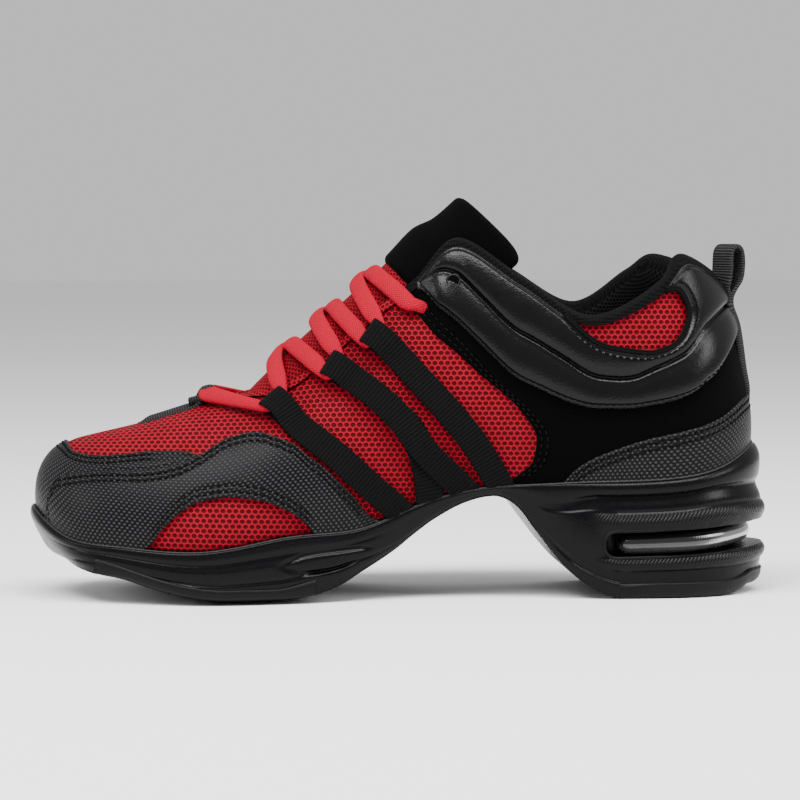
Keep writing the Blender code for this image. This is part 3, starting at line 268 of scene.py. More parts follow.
STRIP_WIDTH = 12.5
STRIP_THICK = 1.6
LOOP_WIDTH = 10.0
Stand = namedtuple("Stand", "share lift")
BACK_STRIP = [
    Stand(0.24, 0.9), Stand(0.30, 1.8), Stand(0.41, 2.3), Stand(0.53, 3.2), Stand(0.68, 4.1),
    Stand(0.78, 3.8),
]
PULL_TWIST = 33.0
PULL_AXIS = 117.8
STRIP_BOW = 2.6
STRIP_STEP = 0.8
BOW_Z = (60.0, 84.0)
TWIST_Z = (103.0, 113.0)
UPRIGHT_Z = (102.0, 110.0)
VAMP_STRIP_ROWS = (11.15, 10.03)
VAMP_STRIP_WIDTH = 11.0
VAMP_STRIP_LIFT = 0.1
VAMP_STRIP_THICK = 2.2
VAMP_STRIP_SUNK = 1.4
VAMP_STRIP_BOW = 1.6
PULL_LOOP = [
    Profile(119.1, 104.5), Profile(119.5, 107.5), Profile(120.1, 111.0), Profile(120.6, 115.0),
    Profile(120.6, 118.5), Profile(119.9, 121.2), Profile(118.4, 122.5), Profile(116.7, 122.3),
    Profile(115.4, 120.7), Profile(115.0, 118.0), Profile(114.9, 115.0), Profile(114.7, 112.0),
    Profile(114.8, 109.0), Profile(115.4, 105.5),
]
EYELET = Mark(5.14, 0.845)
EYELET_HOLE = 2.0
EYELET_RISE = 0.1
# Section of the ring: radius, and height over its seat
EYELET_RING = [(2.7, -0.6), (2.65, 0.0), (2.4, 0.25), (2.1, 0.2), (1.85, -0.1), (1.75, -1.2)]

WINDOW_ROW = 2.78
WINDOW_HALF = 4.4
WINDOW_DEEP = 11.0
WINDOW_SIDE_Z = 19.6
WINDOW_BACK_Z = 21.8
WINDOW_ROW_LENGTH = 24.0
WINDOW_STRAIGHT = 2.5
CUTTER_OUT = 12.0
TUBE_RADIUS = 3.9
TUBE_INSET = 2.6
TUBE_ROW = 2.55
TUBE_STEPS = 120
TUBE_STEP = 0.9
TUBE_START = 0.3
RIM_ROW = 1.5
RIM_SIZE = 1.3
RIM_GAP = 0.3
RIM_SUNK = 0.25
RIM_FACING = 2.2
RIM_FADE = (-1.0, 9.0)


def hermite(part, start, end, start_slope, end_slope):
    """Cubic between two values, with its slopes at both."""
    return (
        (1 + 2 * part) * (1 - part) ** 2 * start + part * (1 - part) ** 2 * start_slope
        + part * part * (3 - 2 * part) * end - part * part * (1 - part) * end_slope
    )


def monotone(knots, values):
    """Curve through values at knots that never overshoots between them."""
    knots = np.asarray(knots, float)
    values = np.asarray(values, float)
    steps = np.diff(knots)
    rises = np.diff(values) / steps
    slopes = np.zeros(len(knots))
    for i in range(1, len(knots) - 1):
        before, after = rises[i - 1], rises[i]
        if before * after > 0:
            near = 2 * steps[i] + steps[i - 1]
            far = steps[i] + 2 * steps[i - 1]
            slopes[i] = (near + far) / (near / before + far / after)

    def value(at):
        at = np.clip(np.asarray(at, float), knots[0], knots[-1])
        i = np.clip(np.searchsorted(knots, at, side="right") - 1, 0, len(steps) - 1)
        part = (at - knots[i]) / steps[i]
        return hermite(part, values[i], values[i + 1], steps[i] * slopes[i], steps[i] * slopes[i + 1])

    return value


def curve_of(table, knot, value):
    """Monotone curve of one named column of a table over another."""
    return monotone([getattr(line, knot) for line in table], [getattr(line, value) for line in table])


def unit(vectors):
    """Vectors brought to a length of 1."""
    return vectors / np.linalg.norm(vectors, axis=-1, keepdims=True)


def run_lengths(points, axis=0):
    """Length along each line of points up to each point."""
    steps = np.linalg.norm(np.diff(points, axis=axis), axis=-1)
    return np.concatenate([0 * np.take(steps, [0], axis), np.cumsum(steps, axis)], axis)


def from_ends(lengths, axis=0):
    """Distance to the nearer end of each line of lengths."""
    return np.minimum(lengths, np.take(lengths, [-1], axis) - lengths)


def bell(distance, width):
    """Round hump, 1 in its middle and fading beyond its width."""
    return np.exp(-(distance / width) ** 2)


def around(lateral, medial):
    """Monotone curve round the whole shoe from the columns of its two sides."""
    loop = list(lateral) + list(medial)[TOE_ROW - 1:0:-1]
    spare = 3
    knots = np.arange(-spare, ROWS + spare + 1)
    curve = monotone(knots, [loop[k % ROWS] for k in knots])
    return lambda row: curve(np.mod(row, ROWS))


def smooth_around(points):
    """Cubic curve of even curvature round the whole shoe, with its slope."""
    points = np.asarray(points, float)
    count = len(points)
    system = 4 * np.eye(count) + np.roll(np.eye(count), 1, 0) + np.roll(np.eye(count), -1, 0)
    slopes = np.linalg.solve(system, 3 * (np.roll(points, -1, 0) - np.roll(points, 1, 0)))

    def value(row):
        row = np.mod(np.asarray(row, float), count)
        i = np.floor(row).astype(int) % count
        j = (i + 1) % count
        t = (row - np.floor(row))[..., None]
        slope = (
            6 * t * (t - 1) * (points[i] - points[j])
            + (3 * t * t - 4 * t + 1) * slopes[i] + (3 * t * t - 2 * t) * slopes[j]
        )
        return hermite(t, points[i], points[j], slopes[i], slopes[j]), slope

    return value


def both(lateral, medial=None):
    """Curve round the whole shoe of a column of the sections, or of one column for each side."""
    columns = [[getattr(section, name) for section in SECTIONS] for name in (lateral, medial or lateral)]
    return around(*columns)


def loop_points():
    """Foot of the wall at each section, round the whole shoe."""
    lateral = [(s.foot_x, s.foot_lat, s.foot_z) for s in SECTIONS]
    medial = [(s.foot_x, s.foot_med, s.foot_z) for s in SECTIONS]
    return lateral + medial[TOE_ROW - 1:0:-1]


FOOT = smooth_around(loop_points())
LOW, FLARE, HIGH, LEAN = [both(name) for name in ("low", "flare", "high", "lean")]
TOP_X = both("top_x", "top_x_med")
TOP_MID = both("top_mid")
TOP_Y = around([s.top_mid - s.top_half for s in SECTIONS], [s.top_mid + s.top_half for s in SECTIONS])
TOP_Z = both("top_z", "top_z_med")
UNDER_Z = curve_of(UNDERSIDE, "x", "z")
BED_Z = curve_of(FOOTBED, "x", "z")


def side_row(row):
    """Row counted from the heel on either side."""
    row = np.mod(row, ROWS)
    return np.minimum(row, ROWS - row)


def inward(row):
    """Level direction into the shoe, square to the foot of the wall."""
    slope = FOOT(row)[1]
    return unit(np.stack([slope[..., 1], -slope[..., 0], np.zeros_like(slope[..., 0])], -1))


def top_edge(row):
    """Upper edge of the wall: collar, throat or vamp ridge."""
    across = np.where(side_row(row) >= VAMP_ROW, TOP_MID(row), TOP_Y(row))
    return np.stack([TOP_X(row), across, TOP_Z(row)], -1)


def wall(row, share):
    """Point on the outside of the upper."""
    row, share = np.broadcast_arrays(np.asarray(row, float), np.asarray(share, float))
    foot = FOOT(row)[0]
    top = top_edge(row)
    level = inward(row)
    up = np.array([0.0, 0.0, 1.0])
    flare = np.radians(FLARE(row))[..., None]
    lean = np.radians(LEAN(row))[..., None]
    low = foot + LOW(row)[..., None] * (up * np.cos(flare) - level * np.sin(flare))
    over = level + up * VAMP_SLOPE * level[..., :1]
    high = top - HIGH(row)[..., None] * (up * np.cos(lean) + over * np.sin(lean))
    t = share[..., None]
    return (1 - t) ** 3 * foot + 3 * t * (1 - t) ** 2 * low + 3 * t * t * (1 - t) * high + t ** 3 * top


def facing(row, share):
    """Outward direction of the wall."""
    step = 0.01
    share = np.clip(share, step, 1 - step)
    along = wall(row + step, share) - wall(row - step, share)
    rise = wall(row, share + step) - wall(row, share - step)
    return unit(np.cross(rise, along))


def skin(row, share, lift):
    """Point some way out from the wall."""
    row, share, lift = np.broadcast_arrays(*[np.asarray(v, float) for v in (row, share, lift)])
    return wall(row, share) + facing(row, share) * lift[..., None]


ROUND_SHARE = 0.45


def round_lengths():
    """Length round the shoe up to each row, part way up the wall, and length of each row's section."""
    rows = np.linspace(0, ROWS, ROWS * 8 + 1)
    run = run_lengths(wall(rows, np.full(len(rows), ROUND_SHARE)))
    rise = run_lengths(wall(rows[:, None], np.linspace(0, 1, 25)[None, :]), 1)[:, -1]
    return rows, run, rise


ROUND_ROWS, ROUND_RUN, ROUND_RISE = round_lengths()


def skin_mm(rows, shares):
    """Place on the wall in millimetres round the shoe and up from the sole."""
    turns = np.floor(rows / ROWS)
    within = rows - turns * ROWS
    run = np.interp(within, ROUND_ROWS, ROUND_RUN) + turns * ROUND_RUN[-1]
    rise = shares * np.interp(within, ROUND_ROWS, ROUND_RISE)
    return np.stack([run, rise, 0 * rise], -1)


MESH_LEVEL = 50.0
MESH_STRETCH = np.array([1.0, 0.6, 1.0])


def girth_mm(rows, shares):
    """Place on the upper in millimetres along the shoe and up its upright cross-section from the sole."""
    grid = wall(rows[:, None], shares[None, :])
    along = grid[..., 0]
    coords = np.zeros(grid.shape)
    coords[..., 0] = along
    planes = np.linspace(along.min(), along.max(), 300)
    for side in SIDES:
        half = own(np.linspace(0, TOE_ROW, TOE_ROW * 12 + 1), side)
        met = [np.interp(planes, wall(half, share)[::-1, 0], half[::-1]) for share in shares]
        cut = wall(np.array(met), shares[:, None] + 0 * planes[None, :])
        rise = run_lengths(cut * MESH_STRETCH)
        rise -= [np.interp(MESH_LEVEL, cut[:, i, 2], rise[:, i]) for i in range(len(planes))]
        own_rows = rows <= TOE_ROW if side == "lateral" else rows > TOE_ROW
        for j in range(len(shares)):
            coords[own_rows, j, 1] = np.interp(along[own_rows, j], planes, rise[j])
    return coords


def smoothstep(low, high, value):
    """Smooth change from 0 to 1 between two limits."""
    t = np.clip((value - low) / (high - low), 0, 1)
    return t * t * (3 - 2 * t)


def own(row, side):
    """Row of the outer side, or the same place on the inner side."""
    return row if side == "lateral" else ROWS - row


def add(name, points, faces, material, coords=None, nodes=(), slot=None):
    """Piece from points in millimetres, with its pattern coordinates, on the shoe's only body."""
    mesh = bpy.data.meshes.new(name)
    points = np.asarray(points, float).reshape(-1, 3)
    mesh.from_pydata((points * MM).tolist(), [], faces)
    if coords is not None:
        place = mesh.attributes.new("skin_mm", "FLOAT_VECTOR", "POINT")
        place.data.foreach_set("vector", np.asarray(coords, np.float32).reshape(-1))
    mesh.update()
    mesh.shade_smooth()
    mesh.materials.append(material)
    thing = bpy.data.objects.new(name, mesh)
    bpy.context.scene.collection.objects.link(thing)
    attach(thing, "root")
    if nodes:
        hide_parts(*nodes)
    return thing


def grid_faces(columns, lines, closed=False, turn=False, base=0):
    """Faces of a grid whose points run up each column in turn."""
    faces = []
    for i in range(columns if closed else columns - 1):
        a = base + i * lines
        b = base + ((i + 1) % columns) * lines
        for j in range(lines - 1):
            face = (a + j, a + j + 1, b + j + 1, b + j)
            faces.append(face[::-1] if turn else face)
    return faces


def tube_faces(rings, count, base=0):
    """Faces round a tube of rings of points, with a face across either end."""
    faces = []
    for a in range(base, base + (rings - 1) * count, count):
        for j in range(count):
            k = (j + 1) % count
            faces.append((a + j, a + k, a + count + k, a + count + j))
    last = base + (rings - 1) * count
    return faces + [tuple(range(base, base + count))[::-1], tuple(range(last, last + count))]


def face_outward(thing, merge=0.0):
    """Turn the faces of a closed piece outwards, its points that coincide joined first."""
    work = bmesh.new()
    work.from_mesh(thing.data)
    if merge:
        bmesh.ops.remove_doubles(work, verts=work.verts, dist=merge * MM)
    bmesh.ops.recalc_face_normals(work, faces=work.faces)
    work.to_mesh(thing.data)
    work.free()


def apply_modifiers(thing):
    """Replace a piece's mesh by what its modifiers make of it."""
    view = bpy.context.evaluated_depsgraph_get()
    mesh = bpy.data.meshes.new_from_object(thing.evaluated_get(view))
    thing.modifiers.clear()
    thing.data = mesh


def solidify(thing, thickness):
    """Give a sheet its thickness, inwards."""
    shell = thing.modifiers.new("Thickness", "SOLIDIFY")
    shell.thickness = thickness * MM
    shell.offset = -1
    shell.use_even_offset = True
    apply_modifiers(thing)


class Finish:
    """A procedural Principled material, with short ways to make its nodes."""

    def __init__(self, name, colour, roughness, specular=0.5, **sockets):
        self.material = bpy.data.materials.new(name)
        self.material.use_nodes = True
        self.tree = self.material.node_tree
        self.shader = self.tree.nodes["Principled BSDF"]
        self.shader.inputs["Base Color"].default_value = (*colour, 1.0)
        self.shader.inputs["Roughness"].default_value = roughness
        self.shader.inputs["Specular IOR Level"].default_value = specular
        for socket, value in sockets.items():
            self.shader.inputs[socket.replace("_", " ")].default_value = value
        place = self.new("ShaderNodeAttribute")
        place.attribute_name = "skin_mm"
        split = self.new("ShaderNodeSeparateXYZ")
        self.feed(split.inputs[0], place.outputs["Vector"])
        self.vector = place.outputs["Vector"]
        self.u, self.v, self.w = split.outputs

    def new(self, kind):
        return self.tree.nodes.new(kind)

    def feed(self, socket, value):
        """Link a socket, or set its value."""
        if isinstance(value, bpy.types.NodeSocket):
            self.tree.links.new(value, socket)
        else:
            socket.default_value = value

    def math(self, operation, *values):
        node = self.new("ShaderNodeMath")
        node.operation = operation
        for socket, value in zip(node.inputs, values):
            self.feed(socket, value)
        return node.outputs[0]

    def span(self, value, low, high, to_low=0.0, to_high=1.0):
        """Smooth step of a value between two limits."""
        node = self.new("ShaderNodeMapRange")
        node.interpolation_type = "SMOOTHSTEP"
        for socket, number in zip(node.inputs, (value, low, high, to_low, to_high)):
            self.feed(socket, number)
        return node.outputs[0]

    def mix(self, amount, first, second):
        """Colour between two others."""
        node = self.new("ShaderNodeMix")
        node.data_type = "RGBA"
        self.feed(node.inputs["Factor"], amount)
        for name, value in (("A", first), ("B", second)):
            socket = next(s for s in node.inputs if s.name == name and s.type == "RGBA")
            self.feed(socket, (*value, 1.0) if isinstance(value, tuple) else value)
        return next(s for s in node.outputs if s.type == "RGBA")

    def noise(self, scale, detail=2.0):
        """Cloudy pattern, scale in features a millimetre."""
        node = self.new("ShaderNodeTexNoise")
        node.inputs["Scale"].default_value = scale
        node.inputs["Detail"].default_value = detail
        self.feed(node.inputs["Vector"], self.vector)
        return node.outputs["Fac"]

    def cells(self, scale):
        """Distance from the middle of grain cells."""
        node = self.new("ShaderNodeTexVoronoi")
        node.inputs["Scale"].default_value = scale
        self.feed(node.inputs["Vector"], self.vector)
        return node.outputs["Distance"]

    def wave(self, value, pitch):
        """Even ribs from 0 to 1."""
        turns = self.math("MULTIPLY", value, 2 * math.pi / pitch)
        return self.math("MULTIPLY_ADD", self.math("SINE", turns), 0.5, 0.5)

    def slant(self, operation, lean, pitch):
        """Ribs that lean forward or back."""
        return self.wave(self.math(operation, self.u, self.math("MULTIPLY", self.v, lean)), pitch)

    def dots(self, pitch_u, pitch_v, radius_u, radius_v, soft):
        """Staggered rows of dots: 1 inside a dot and 0 outside."""
        line = self.math("DIVIDE", self.v, pitch_v)
        odd = self.math("MULTIPLY", self.math("FLOORED_MODULO", self.math("FLOOR", line), 2.0), 0.5)
        column = self.math("ADD", self.math("DIVIDE", self.u, pitch_u), odd)
        squares = []
        for place, size in ((column, pitch_u / radius_u), (line, pitch_v / radius_v)):
            middle = self.math("SUBTRACT", self.math("FRACT", place), 0.5)
            squares.append(self.math("POWER", self.math("MULTIPLY", middle, size), 2.0))
        distance = self.math("SQRT", self.math("ADD", *squares))
        return self.span(distance, 1 - soft, 1 + soft, 1.0, 0.0)

    def colour(self, amount, first, second):
        self.feed(self.shader.inputs["Base Color"], self.mix(amount, first, second))

    def rough(self, value, low, high):
        self.feed(self.shader.inputs["Roughness"], self.span(value, 0.0, 1.0, low, high))

    def bump(self, *layers):
        """Surface relief: each layer a height and its depth in millimetres, laid on the one before."""
        relief = None
        for height, depth in layers:
            node = self.new("ShaderNodeBump")
            node.inputs["Distance"].default_value = depth * MM
            self.feed(node.inputs["Height"], height)
            if relief is not None:
                self.feed(node.inputs["Normal"], relief)
            relief = node.outputs[0]
        self.feed(self.shader.inputs["Normal"], relief)


def mesh_finish(name, pitch_u, pitch_v, hole, light, deep):
    """Knitted mesh: rows of round holes between glossy threads."""
    made = Finish(name, light, 0.6, 0.06)
    holes = made.dots(pitch_u, pitch_v, hole, hole * 0.9, 0.35)
    made.colour(holes, made.mix(made.noise(0.12), light, tuple(c * 0.7 for c in light)), deep)
    made.bump((made.math("SUBTRACT", 1.0, holes), 0.6), (made.noise(3.0, 3.0), 0.12))
    return made.material


def embossed_finish():
    """Coated leather embossed with rows of small raised dots, their tops painted lighter as highlights, and a
    painted highlight along its cut edge.
    """
    made = Finish("embossed_leather", (0.002, 0.002, 0.0023), 0.36, 0.075)
    dots = made.dots(1.85, 1.12, 0.46, 0.36, 0.5)
    base = made.mix(made.noise(0.08, 3.0), (0.0016, 0.0016, 0.0019), (0.0035, 0.0035, 0.004))
    # Painted highlight: paler colour along the cut edge
    cut = made.mix(made.math("MULTIPLY", made.w, 0.6), base, (0.012, 0.012, 0.0125))
    # Painted highlight: the raised dots' tops are coloured lighter than the leather between them
    made.colour(dots, cut, (0.034, 0.034, 0.036))
    made.rough(made.noise(0.9, 3.0), 0.28, 0.42)
    made.bump((dots, 0.35), (made.noise(2.2, 3.0), 0.06))
    return made.material


def suede_finish(name):
    """Deep black suede with a short nap."""
    made = Finish(name, (0.0006, 0.0006, 0.0007), 0.95, 0.025, Sheen_Weight=0.005, Sheen_Roughness=0.6)
    nap = made.noise(1.3, 5.0)
    made.colour(nap, (0.0003, 0.0003, 0.0004), (0.0012, 0.0012, 0.0014))
    made.bump((nap, 0.15))
    return made.material


def leather_finish():
    """Smooth padded leather with a fine pebble grain, with a painted highlight along its cut edge."""
    made = Finish("glossy_leather", (0.0012, 0.0012, 0.0014), 0.3, 0.16)
    base = made.mix(made.noise(0.1, 3.0), (0.0010, 0.0010, 0.0012), (0.0022, 0.0022, 0.0026))
    # Painted highlight: paler colour along the cut edge
    made.colour(made.w, base, (0.02, 0.02, 0.021))
    made.rough(made.noise(0.5, 3.0), 0.22, 0.29)
    made.bump((made.cells(1.6), 0.05), (made.noise(0.35, 2.0), 0.04))
    return made.material


def webbing_finish(name, dark, light, pitch):
    """Grosgrain webbing, ribbed across its length."""
    made = Finish(name, dark, 0.7, 0.06, Sheen_Weight=0.008, Sheen_Roughness=0.4)
    ribs = made.wave(made.u, pitch)
    made.colour(made.math("MULTIPLY", ribs, made.noise(1.1, 2.0)), dark, light)
    made.bump((ribs, 0.32), (made.wave(made.v, 0.45), 0.07))
    return made.material


def lace_finish():
    """Soft flat braid."""
    made = Finish("red_lace", (0.2, 0.003, 0.007), 0.75, 0.06)
    braid = made.math("MAXIMUM", made.slant("ADD", 1.4, 1.3), made.slant("SUBTRACT", 1.4, 1.3))
    made.colour(braid, (0.21, 0.0018, 0.0105), (0.32, 0.0028, 0.017))
    made.bump((braid, 0.16), (made.noise(1.6, 3.0), 0.10))
    return made.material


def knit_finish():
    """Black ribbed knit."""
    made = Finish("black_knit", (0.001, 0.001, 0.0011), 0.85, 0.07, Sheen_Weight=0.01, Sheen_Roughness=0.5)
    ribs = made.math("MULTIPLY", made.wave(made.u, 0.9), made.wave(made.v, 1.17))
    made.colour(ribs, (0.0007, 0.0007, 0.0008), (0.0045, 0.0045, 0.005))
    made.bump((ribs, 0.35))
    return made.material


def lining_finish():
    """Close black mesh."""
    made = Finish("lining_mesh", (0.002, 0.002, 0.0022), 0.9, 0.06)
    threads = made.math("SUBTRACT", 1.0, made.dots(1.7, 1.3, 0.52, 0.44, 0.4))
    made.colour(threads, (0.0005, 0.0005, 0.0006), (0.005, 0.005, 0.0055))
    made.bump((threads, 0.35))
    return made.material


def rubber_finish():
    """Satin moulded rubber, knurled where the third coordinate says."""
    made = Finish("sole_rubber", (0.0015, 0.0015, 0.0018), 0.28, 0.11)
    made.colour(made.noise(0.06, 3.0), (0.0007, 0.0007, 0.0010), (0.0014, 0.0014, 0.0019))
    made.rough(made.noise(0.35, 4.0), 0.22, 0.34)
    knurl = made.math("MULTIPLY", made.slant("ADD", 0.8, 1.25), made.w)
    made.bump((knurl, 0.2), (made.noise(1.4, 3.0), 0.05))
    return made.material


def tread_finish():
    """Rough tread rubber."""
    made = Finish("tread_rubber", (0.0015, 0.0015, 0.0018), 0.45, 0.12)
    made.colour(made.noise(0.2, 4.0), (0.0011, 0.0011, 0.0013), (0.0028, 0.0028, 0.0032))
    made.bump((made.noise(1.6, 4.0), 0.12))
    return made.material


def clear_finish():
    """Clear plastic with fine rings, with painted shade darkening its top."""
    made = Finish("clear_tube", (0.1, 0.1, 0.105), 0.08, IOR=1.46, Transmission_Weight=0.3, Coat_Weight=0.2)
    rings = made.wave(made.u, 0.9)
    # Painted shade: the top of the tube is coloured darker than its lower half
    tone = made.mix(made.span(made.w, -0.5, 0.3), (0.06, 0.06, 0.063), (0.006, 0.006, 0.007))
    made.colour(made.math("MULTIPLY", rings, 0.35), tone, (0.01, 0.01, 0.011))
    made.bump((rings, 0.03))
    return made.material


def thread_finish():
    """Twisted sewing thread."""
    made = Finish("black_thread", (0.0008, 0.0008, 0.001), 0.6, 0.07)
    twist = made.wave(made.u, 0.5)
    made.colour(twist, (0.0005, 0.0005, 0.0006), (0.0018, 0.0018, 0.002))
    made.bump((twist, 0.08))
    return made.material


def lip_highlight_finish():
    """Rough edge of the rubber, coloured pale as a painted highlight along the lip."""
    made = Finish("lip_edge_painted_highlight", (0.01, 0.01, 0.0105), 0.5, 0.2)
    # Painted highlight: pale flecked colour along the lip's edge
    made.colour(made.noise(0.8, 3.0), (0.002, 0.002, 0.0022), (0.03, 0.03, 0.031))
    made.bump((made.noise(2.0, 2.0), 0.1))
    return made.material


def ring_finish():
    """Black lacquered metal."""
    made = Finish("eyelet_metal", (0.0015, 0.0015, 0.0018), 0.3, 0.2)
    made.rough(made.noise(2.0), 0.22, 0.4)
    return made.material


RED = mesh_finish("red_mesh", 2.2, 1.75, 0.72, (0.25, 0.0026, 0.012), (0.036, 0.0004, 0.0012))
RED_FINE = mesh_finish("red_tongue_mesh", 1.7, 1.3, 0.5, (0.26, 0.003, 0.012), (0.06, 0.0007, 0.002))
EMBOSSED = embossed_finish()
SUEDE = suede_finish("suede")
TONGUE_SUEDE = suede_finish("tongue_suede")
LEATHER = leather_finish()
WEBBING = webbing_finish("webbing", (0.0006, 0.0006, 0.0007), (0.0045, 0.0045, 0.0048), 1.3)
GREY_WEBBING = webbing_finish("grey_webbing", (0.008, 0.008, 0.0083), (0.055, 0.055, 0.057), 0.9)
LACE = lace_finish()
KNIT = knit_finish()
LINING = lining_finish()
RUBBER = rubber_finish()
TREAD = tread_finish()
CLEAR = clear_finish()
THREAD = thread_finish()
RING_METAL = ring_finish()
LIP = lip_highlight_finish()
LIP_OUT = 1.9
LIP_UP = 0.25
LIP_SIZE = 0.7
TAPE_LIFT = 1.3
TAPE_WIDTH = 2.4
TAPE_THICK = 1.4


UPPER_THICK = 1.2


def build_upper():
    """Red mesh shell, from the sole to the collar, throat and vamp ridge."""
    rows = np.linspace(0, ROWS, ROWS * 11 + 1)[:-1]
    shares = np.linspace(0, 1, 45)
    grid = wall(rows[:, None], shares[None, :])
    faces = grid_faces(len(rows), len(shares), closed=True)
    upper = add("upper_mesh", grid, faces, RED, girth_mm(rows, shares), ["upper"], "red_mesh")
    solidify(upper, UPPER_THICK)


def edge_curves(edges):
    """Lower and upper share of a panel over its rows."""
    return curve_of(edges, "row", "low"), curve_of(edges, "row", "high")


EDGE_ROUND = 0.8
TUCK = -0.5
SEAM_DEPTH = 0.45
SEAM_WIDTH = 0.5
SEAM_FREE = 50.0
AT_SOLE = 0.01
SEAM_PAIR = (1.9, 4.1)
RELIEF_FADE = 2.0
EDGE_HIGHLIGHT_SPAN = (0.3, 0.9)
WINDOW_UNDER = 1.0
COUNTER_LIFT = 1.7
CAP_LIFT = 1.2
BAND_LIFT = 1.8
QUARTER_LIFT = 0.9


def cushion(distance, radius):
    """Height of a rounded edge at some distance in from it, from 0 to 1."""
    inner = 1 - np.clip(distance / radius, 0, 1)
    return np.sqrt(np.clip(1 - inner * inner, 0, 1))


def build_patch(name, rows, shares, lift, material, nodes, slot, seams=(), relief=None, past=None):
    """Overlay on the wall over a grid of rows and shares, its edges rounded down into the wall.

    Seams are the distances in from the edge of its sewn channels, past how far places lie outside its window.
    """
    grid = wall(rows, shares)
    rise = run_lengths(grid, 1)
    below = np.where(shares[:, :1] < AT_SOLE, SEAM_FREE, rise)
    inside = np.minimum(from_ends(run_lengths(grid)), np.minimum(below, rise[:, -1:] - rise))
    faces = grid_faces(*rows.shape)
    if past is not None:
        inside = np.minimum(inside, np.maximum(past, 0))
        faces = [face for face in faces if past.flat[list(face)].min() > -WINDOW_UNDER]
    height = TUCK + (lift - TUCK) * cushion(inside, EDGE_ROUND)
    if relief is not None:
        height = height + relief(rows, shares) * smoothstep(0.0, RELIEF_FADE, inside)
    for seam in seams:
        height = height - SEAM_DEPTH * bell(inside - seam, SEAM_WIDTH)
    coords = skin_mm(rows, shares)
    # Third coordinate: 1 at the edge, fading inwards; the leathers paint a highlight along their edge from it
    coords[..., 2] = 1 - smoothstep(*EDGE_HIGHLIGHT_SPAN, inside)
    return add(name, skin(rows, shares, height), faces, material, coords, nodes, slot)


EDGE_CROWD = 0.75


def edge_spread(count):
    """Parts from 0 to 1, closer together at the ends."""
    even = np.linspace(0, 1, count)
    return even - EDGE_CROWD * np.sin(2 * np.pi * even) / (2 * np.pi)


BAND_STEP = 0.03
SOLE_SHARE = 0.004


def band_grid(edges, lines, middle=None):
    """Grid of rows and shares of a panel between two edges, on one side or across the heel or the toe."""
    low, high = edge_curves(edges)
    first, last = edges[0].row, edges[-1].row
    count = int((last - first) / BAND_STEP)
    if middle == "heel":
        rows = np.linspace(-last, last, 2 * count)
    elif middle == "toe":
        rows = np.linspace(first, ROWS - first, 2 * count)
    else:
        rows = first + (last - first) * edge_spread(count)
    near = side_row(rows)
    start = np.maximum(low(near), SOLE_SHARE)[:, None]
    shares = start + (high(near)[:, None] - start) * edge_spread(lines)[None, :]
    return rows[:, None] + 0 * shares, shares


def on_side(rows, shares, side):
    """The same grid on the inner side, kept the same way round."""
    if side == "lateral":
        return rows, shares
    return ROWS - rows[::-1], shares[::-1]


CREASE_LINE = [
    Mark(0.1, 0.80), Mark(0.85, 0.69), Mark(1.60, 0.59), Mark(2.35, 0.58), Mark(2.90, 0.66),
    Mark(3.48, 0.735), Mark(4.08, 0.74), Mark(4.67, 0.81), Mark(5.1, 0.885), Mark(5.5, 0.943),
    Mark(5.9, 0.98),
]
BULGE = 2.3
BAND_LEAST = 0.03
BAND_SWELL = 0.17
BAND_ROUND = 0.75
BAND_LEAN = 0.7
BEAD = 0.35
BEAD_LOW = 1.5
BEAD_WIDTH = 0.8
NIP = 0.45
NIP_WIDTH = 0.5
COLLAR_LIFT = 1.5
COLLAR_TOP = 1.0
COLLAR_FADE = (6.0, 5.3)
COLLAR_SEAM = (1.5,)


def collar_relief(rows, shares):
    """Padding of the collar panel: two soft bands with a sewn crease between them."""
    near = side_row(rows)
    rise = np.interp(near, ROUND_ROWS, ROUND_RISE)
    low = edge_curves(COLLAR_PANEL)[0](near)
    crease = curve_of(CREASE_LINE, "row", "share")(near)
    height = 0.0
    for below, above in ((low, crease), (crease, COLLAR_TOP)):
        part = np.clip((shares - below) / np.maximum(above - below, BAND_LEAST), 0, 1) ** BAND_LEAN
        full = np.minimum((above - below) * rise * BAND_SWELL, BULGE)
        height = height + full * np.clip(4 * part * (1 - part), 0, 1) ** BAND_ROUND
    under_crease = (crease - shares) * rise
    height = height + BEAD * bell(under_crease - BEAD_LOW, BEAD_WIDTH) - NIP * bell(under_crease, NIP_WIDTH)
    return height * smoothstep(*COLLAR_FADE, near)


# Edge of the mesh window under the collar, open at the top
WINDOW_EDGE = [
    Mark(1.95, 0.985), Mark(1.62, 0.93), Mark(1.4, 0.875), Mark(1.28, 0.815), Mark(1.26, 0.755),
    Mark(1.42, 0.695), Mark(1.7, 0.655), Mark(2.05, 0.655), Mark(2.35, 0.70), Mark(2.9, 0.86),
    Mark(3.3, 0.97), Mark(3.4, 1.0),
]
ABOVE_COLLAR = 1.1 * SHARE_PITCH
WINDOW_STEP = 0.8
BINDING_SHARE = 0.96


def flat_marks(marks):
    """Marks on the wall in millimetres along and up it."""
    return np.array([(mark.row * ROW_PITCH, mark.share * SHARE_PITCH) for mark in marks])


def window_line():
    """Edge of the mesh window in millimetres along and up the wall."""
    return smooth_path(flat_marks(WINDOW_EDGE), WINDOW_STEP)[0]


def beside_window(distance):
    """Rows and shares of a line outside the mesh window, up to the binding."""
    line = window_line()
    slope = unit(np.gradient(line, axis=0))
    spots = line - np.stack([-slope[:, 1], slope[:, 0]], -1) * distance
    spots = spots[spots[:, 1] < BINDING_SHARE * SHARE_PITCH]
    return spots[:, 0] / ROW_PITCH, spots[:, 1] / SHARE_PITCH


